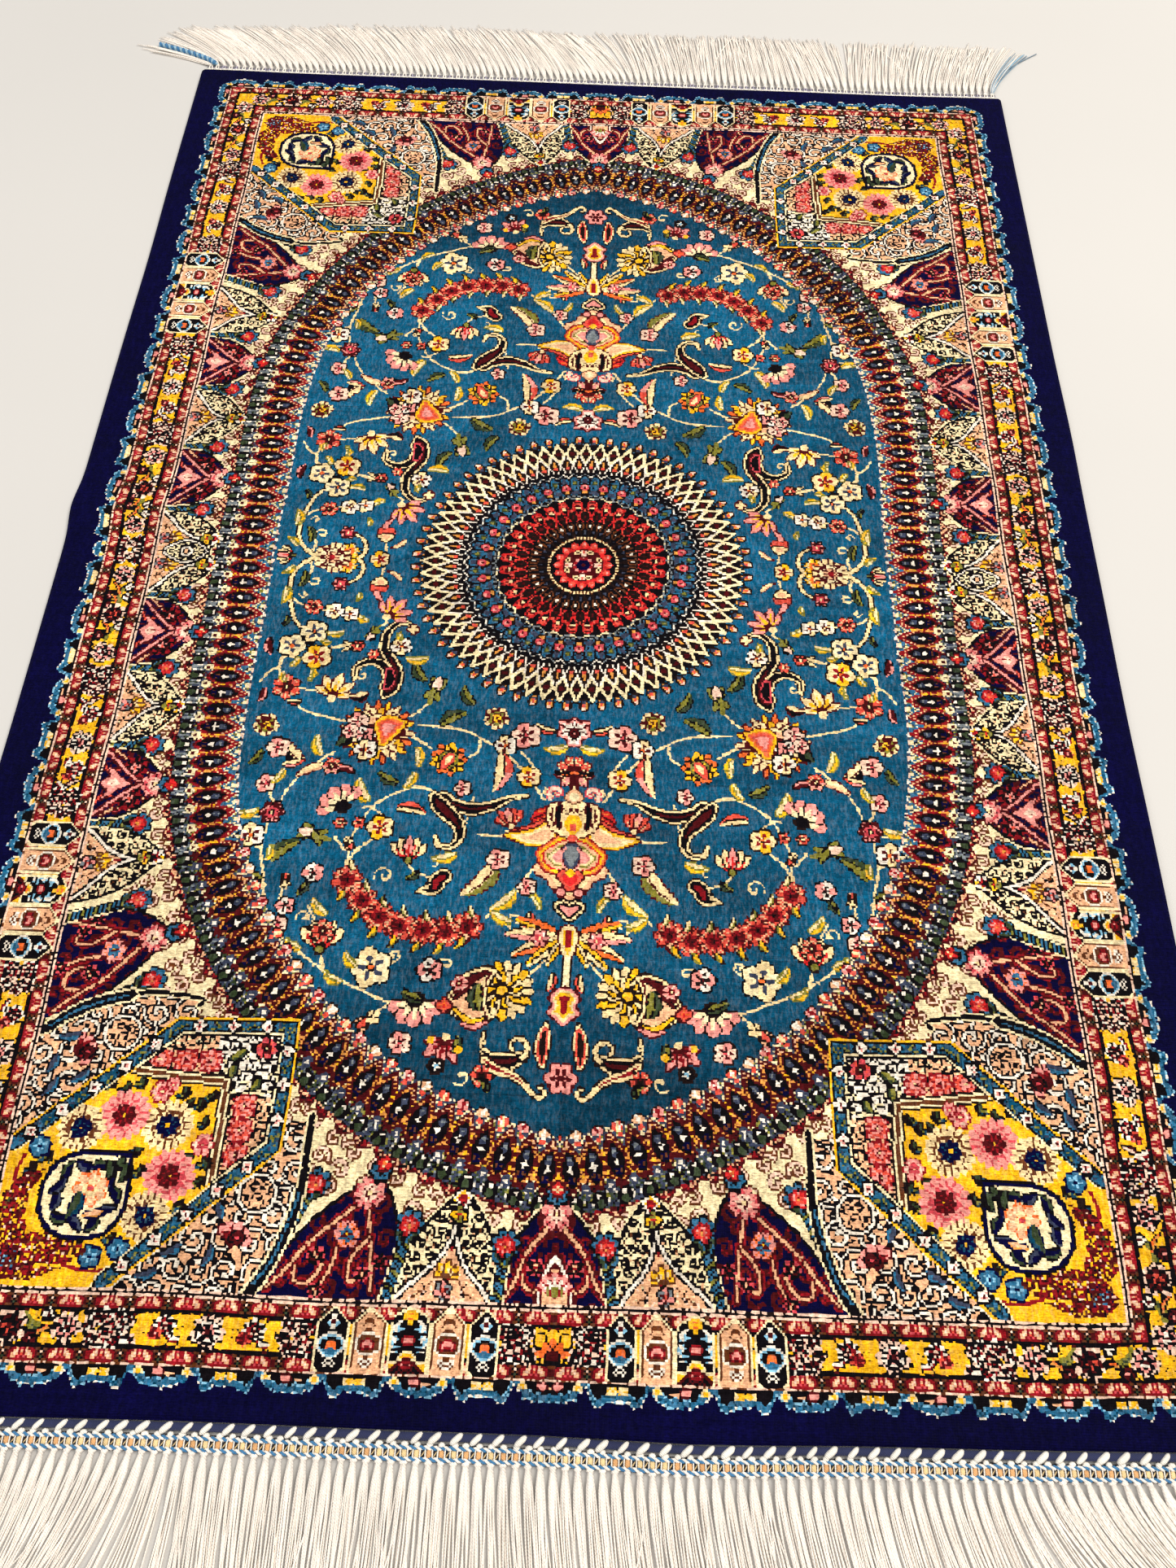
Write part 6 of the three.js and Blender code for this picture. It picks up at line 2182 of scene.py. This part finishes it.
def far_fringe():
    """The far threads, blue among the white in the last bunch, with a blue cord by the first."""
    blues = (OFF_WHITE, GREY_BLUE, PALE_BLUE)
    start = PIECE_GAP + FAR_HEADING
    threads = Strands()
    fringe_threads(threads, far_edge, 1, start, FAR_LAY,
                   lambda index, k: blues[k % 3] if index == BUNCHES - 1 else OFF_WHITE)
    root_x = -HEADING_HALF + BUNCH_PITCH * 1.1
    root = (root_x, far_edge(root_x) + start - THREAD_TUCK)
    share = np.linspace(0, 1, 70)
    x, y, _, _ = thread_line(root, 1, FAR_LAY, np.linspace(0, 0.98, len(share)))
    twined_cord(threads, np.column_stack([x, y, 2.3 - 0.9 * share]), 1.9, YARN_BLUE, PALE_BLUE, 5.0)
    return threads.build("fringe_threads_far")


class Shader:
    """A material's nodes, with short calls to add and join them."""

    def __init__(self, name, roughness, sheen, specular):
        self.material = bpy.data.materials.new(name)
        self.material.use_nodes = True
        self.tree = self.material.node_tree
        self.surface = self.tree.nodes["Principled BSDF"]
        self.surface.inputs["Roughness"].default_value = roughness
        self.surface.inputs["Specular IOR Level"].default_value = specular
        self.surface.inputs["Sheen Weight"].default_value = sheen
        self.surface.inputs["Sheen Roughness"].default_value = 0.45

    def node(self, kind, sources=(), **settings):
        """A node whose sources are (input, an output or a value), with its settings."""
        made = self.tree.nodes.new(kind)
        for key, value in settings.items():
            setattr(made, key, value)
        for key, source in sources:
            if isinstance(source, bpy.types.NodeSocket):
                self.tree.links.new(source, made.inputs[key])
            else:
                made.inputs[key].default_value = source
        return made

    def join(self, output, name):
        self.tree.links.new(output, self.surface.inputs[name])

    def place(self):
        return self.node("ShaderNodeTexCoord").outputs["Object"]

    def sources(self):
        """The place on the object, the dye of its face, and the place's x and y."""
        place = self.place()
        dye = self.node("ShaderNodeAttribute", attribute_name="dye").outputs["Color"]
        axes = self.node("ShaderNodeSeparateXYZ", [("Vector", place)]).outputs
        return place, dye, axes["X"], axes["Y"]

    def stretch(self, place, scale):
        return self.node("ShaderNodeMapping", [("Vector", place), ("Scale", scale)],
                         vector_type="POINT").outputs["Vector"]

    def noise(self, place, scale, detail, roughness):
        return self.node("ShaderNodeTexNoise", [("Vector", place), ("Scale", scale),
                                                ("Detail", detail), ("Roughness", roughness)],
                         noise_dimensions="3D").outputs["Fac"]

    def spread(self, value, low, high, start=0.3, end=0.7):
        return self.node("ShaderNodeMapRange", [("Value", value), ("From Min", start),
                                                ("From Max", end), ("To Min", low),
                                                ("To Max", high)]).outputs["Result"]

    def maths(self, operation, first, second=0.0, third=None):
        sources = [(0, first), (1, second)]
        if third is not None:
            sources.append((2, third))
        return self.node("ShaderNodeMath", sources, operation=operation).outputs["Value"]

    def tint(self, colour, amount):
        return self.node("ShaderNodeVectorMath", [(0, colour), ("Scale", amount)],
                         operation="SCALE").outputs["Vector"]

    def wave(self, value, period):
        return self.maths("SINE", self.maths("MULTIPLY_ADD", value, 2 * math.pi / period, 0.0))

    def bump(self, height, strength, distance):
        made = self.node("ShaderNodeBump", [("Height", height), ("Strength", strength),
                                            ("Distance", distance)])
        self.join(made.outputs["Normal"], "Normal")


def pile_material():
    """Silk knots: even rows of small tufts whose dye varies a little, with a soft sheen painted into
    their colour.
    """
    shader = Shader("silk_pile", roughness=0.62, sheen=0.0, specular=0.03)
    place, dye, x, y = shader.sources()
    grain = shader.noise(shader.stretch(place, (0.45, 1.0, 1.0)), 1500.0, 2.0, 0.6)
    tufts = shader.noise(place, 300.0, 2.0, 0.5)
    nap = shader.noise(place, 17.0, 4.0, 0.6)
    rows = shader.wave(y, KNOT_Y * MM)
    columns = shader.wave(x, KNOT_X * MM)
    tone = shader.maths("MULTIPLY", shader.spread(grain, 0.58, 1.44),
                        shader.spread(tufts, 0.86, 1.14))
    # The nap's wide soft areas, lighter and darker: partly uneven dye, partly painted sheen.
    tone = shader.maths("MULTIPLY", tone, shader.spread(nap, 0.74, 1.17))
    drawn = shader.stretch(place, (1.0, 0.3, 1.0))
    # Painted highlights: lighter stripes drawn out along the pile.
    highlight_streaks = shader.noise(drawn, 430.0, 2.0, 0.6)
    tone = shader.maths("MULTIPLY", tone, shader.spread(highlight_streaks, 0.86, 1.3, 0.42, 0.72))
    tone = shader.maths("MULTIPLY", tone, shader.maths("MULTIPLY_ADD", rows, 0.05, 1.0))
    # Painted glints: pale highlights added to the base colour along the tufts, on the dyes that
    # aren't dark.
    green = shader.node("ShaderNodeSeparateColor", [("Color", dye)]).outputs["Green"]
    painted_sparkle = shader.spread(shader.noise(drawn, 760.0, 3.0, 0.7), 0.0, 1.0, 0.48, 0.72)
    painted_glint = shader.maths("MULTIPLY", shader.maths("MINIMUM", green, 0.07), painted_sparkle)
    coloured = shader.node("ShaderNodeVectorMath", [(0, shader.tint(dye, tone)), (1, painted_glint)],
                           operation="ADD").outputs["Vector"]
    shader.join(coloured, "Base Color")
    shader.join(shader.spread(nap, 0.62, 0.8), "Roughness")
    ribs = shader.maths("MULTIPLY_ADD", rows, 0.3, grain)
    shader.bump(shader.maths("MULTIPLY_ADD", columns, 0.18, ribs), 0.55, 0.4 * MM)
    return shader.material


def weave_material():
    """The flat woven back: fine ridges of warp and weft over the knots' colours."""
    shader = Shader("woven_back", roughness=0.8, sheen=0.1, specular=0.25)
    place, dye, x, y = shader.sources()
    grain = shader.noise(place, 700.0, 2.0, 0.6)
    weft = shader.wave(y, 2 * MM)
    warp = shader.wave(x, 1 * MM)
    ridges = shader.maths("MULTIPLY", weft, warp)
    tone = shader.maths("MULTIPLY_ADD", ridges, 0.12, shader.spread(grain, 0.8, 1.15))
    shader.join(shader.tint(dye, tone), "Base Color")
    shader.join(shader.spread(grain, 0.7, 0.9), "Roughness")
    shader.bump(ridges, 0.6, 0.3 * MM)
    return shader.material


def yarn_material(name, twist, slope):
    """Plied yarn: slanting plies across each thread, and a little dirt and shade."""
    shader = Shader(name, roughness=0.72, sheen=0.2, specular=0.3)
    place, dye, x, y = shader.sources()
    plies = shader.wave(shader.maths("MULTIPLY_ADD", x, slope, y), twist)
    fuzz = shader.noise(place, 1300.0, 2.0, 0.6)
    soil = shader.noise(place, 45.0, 3.0, 0.5)
    tone = shader.maths("MULTIPLY_ADD", plies, 0.05, shader.spread(fuzz, 0.88, 1.08))
    tone = shader.maths("MULTIPLY", tone, shader.spread(soil, 0.95, 1.05))
    shader.join(shader.tint(dye, tone), "Base Color")
    shader.join(shader.spread(fuzz, 0.62, 0.82), "Roughness")
    shader.bump(plies, 0.5, 0.2 * MM)
    return shader.material


def floor_material():
    shader = Shader("pale_floor", roughness=0.7, sheen=0.0, specular=0.3)
    soft = shader.noise(shader.place(), 3.0, 3.0, 0.5)
    shader.join(shader.tint(FLOOR_COLOUR, shader.spread(soft, 0.97, 1.0)), "Base Color")
    return shader.material


# The studio, in metres: the camera, a pale floor, and soft lights (name, place, what it is
# aimed at, size, power, colour).
CAMERA_PLACE = (0.00641, -0.42609, 0.55047)
CAMERA_TURN = (27.047, -0.987, 1.712)
CAMERA_LENS = 27.03
FLOOR_COLOUR = (0.6, 0.575, 0.54)
FLOOR_SIZE = 12.0
FLOOR_DROP = 0.2 * MM
WORLD_COLOUR = (1.0, 0.99, 0.97, 1)
WORLD_STRENGTH = 0.4
LIGHTS = [
    ("key", (1.5, 0.7, 2.1), (0, 0.05, 0), (1.4, 1.2), 62, (1.0, 0.965, 0.91)),
    ("fill", (-1.7, 0.2, 1.7), (0, 0, 0), (1.8, 1.8), 26, (0.97, 0.98, 1.0)),
    ("front", (0.3, -1.9, 1.5), (0, -0.1, 0), (1.5, 1.0), 17, (1.0, 0.97, 0.94)),
]


def add_light(name, place, aim, size, power, colour):
    lamp = bpy.data.lights.new(name, "AREA")
    lamp.shape = "RECTANGLE"
    lamp.size, lamp.size_y = size
    lamp.energy = power
    lamp.color = colour
    made = bpy.data.objects.new(name, lamp)
    made.location = place
    made.rotation_euler = (Vector(aim) - Vector(place)).to_track_quat("-Z", "Y").to_euler()
    bpy.context.scene.collection.objects.link(made)


def build_studio():
    camera_data = bpy.data.cameras.new("camera")
    camera_data.sensor_width = 36.0
    camera_data.lens = CAMERA_LENS
    camera_data.clip_start = 0.01
    camera = bpy.data.objects.new("camera", camera_data)
    camera.location = CAMERA_PLACE
    camera.rotation_euler = [math.radians(angle) for angle in CAMERA_TURN]
    bpy.context.scene.collection.objects.link(camera)
    bpy.context.scene.camera = camera

    bpy.ops.mesh.primitive_plane_add(size=FLOOR_SIZE, location=(0, 0, -FLOOR_DROP))
    floor = bpy.context.object
    floor.name = "floor"
    floor.data.materials.append(floor_material())

    for light in LIGHTS:
        add_light(*light)
    world = bpy.data.worlds.new("studio")
    world.use_nodes = True
    background = world.node_tree.nodes["Background"].inputs
    background["Color"].default_value = WORLD_COLOUR
    background["Strength"].default_value = WORLD_STRENGTH
    bpy.context.scene.world = world
    bpy.context.scene.view_settings.view_transform = "Standard"


def drift(rows, columns, spacing):
    """Smooth unevenness between -1 and 1, whose waves are about twice the spacing wide."""
    coarse = rng.uniform(-1, 1, (rows // spacing + 3, columns // spacing + 3))
    y = np.arange(rows) / spacing
    x = np.arange(columns) / spacing
    low_y = y.astype(int)
    low_x = x.astype(int)
    t = ease(y - low_y)[:, None]
    u = ease(x - low_x)[None, :]
    near_row = coarse[low_y][:, low_x] * (1 - u) + coarse[low_y][:, low_x + 1] * u
    far_row = coarse[low_y + 1][:, low_x] * (1 - u) + coarse[low_y + 1][:, low_x + 1] * u
    return near_row * (1 - t) + far_row * t


def lean_of_outlines(ink):
    """How far the pile leans over at each corner between knots, across and along, so that an
    outline that steps from knot to knot runs aslant."""
    rows, columns = ink.shape
    changes = np.zeros((rows + 2, columns + 3), bool)
    changes[1:-1, 2:-2] = ink[:, 1:] != ink[:, :-1]
    near, far = changes[:-1], changes[1:]
    ends_here = near & ~far
    starts_here = far & ~near
    lean = np.zeros((2, rows + 1, columns + 1))
    for hand, beyond in ((1, slice(2, None)), (-1, slice(0, -2))):
        stepped = ends_here[:, 1:-1] & far[:, beyond] | starts_here[:, 1:-1] & near[:, beyond]
        lean[0] += hand * OUTLINE_LEAN * stepped
    alone = changes[1:-1, 1:-1] & ~changes[:-2, 1:-1] & ~changes[2:, 1:-1]
    lean[1][:-1] += OUTLINE_LEAN * alone
    lean[1][1:] -= OUTLINE_LEAN * alone
    return lean


def build_pile(ink):
    rows, columns = ink.shape
    jitter = rng.normal(0, KNOT_JITTER, (2, rows + 1, columns + 1)).clip(-JITTER_LIMIT, JITTER_LIMIT)
    jitter += lean_of_outlines(ink)
    row_tone = 1 + rng.normal(0, ROW_SHADE, (rows, 1))
    shades = (row_tone + rng.normal(0, KNOT_SHADE, (rows, columns))).clip(*SHADE_LIMITS)
    # Painted sheen and shade on the teal knots: soft lighter and darker areas, and darker towards
    # both ends.
    sheen_patches = drift(rows, columns, WIDE_PATCHES)
    sheen_patches = sheen_patches + SMALL_PATCH_SHARE * drift(rows, columns, SMALL_PATCHES)
    ends = np.abs(np.linspace(-1, 1, rows))[:, None] * CLOTH_LENGTH / 2
    painted_dusk = 1 - PAINTED_DUSK * ease((ends - DUSK_START) / DUSK_REACH)
    shades = np.where(ink == TEAL, shades * painted_dusk * (1 + PAINTED_SHEEN * sheen_patches), shades)
    return [knot_strip(name, ink, first, last, jitter, shades) for name, first, last in PILE_STRIPS]


build_studio()
ink_chart = paint_chart()
silk = pile_material()
pile = build_pile(ink_chart)
back = foundation_slab(ink_chart)
back.data.materials.append(weave_material())
for piece in pile:
    piece.data.materials.append(silk)
yarn = yarn_material("fringe_yarn", twist=1.1 * MM, slope=0.8)
cord_yarn = yarn_material("heading_yarn", twist=0.9 * MM, slope=0.9)
roll_piece = overcast_roll()
heading_near = near_heading()
threads_near = near_fringe()
heading_far = far_heading()
threads_far = far_fringe()
for piece, material in ((roll_piece, cord_yarn), (heading_near, cord_yarn),
                        (heading_far, cord_yarn), (threads_near, yarn), (threads_far, yarn)):
    piece.data.materials.append(material)

everything = pile + [back, roll_piece, heading_near, threads_near, heading_far, threads_far]
for piece in everything:
    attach(piece, "root")
for piece in pile + [back]:
    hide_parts("rug_cloth")
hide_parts("overcast_roll_near")
for piece in (heading_near, threads_near):
    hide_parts("fringe_near")
for piece in (heading_far, threads_far):
    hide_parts("fringe_far")
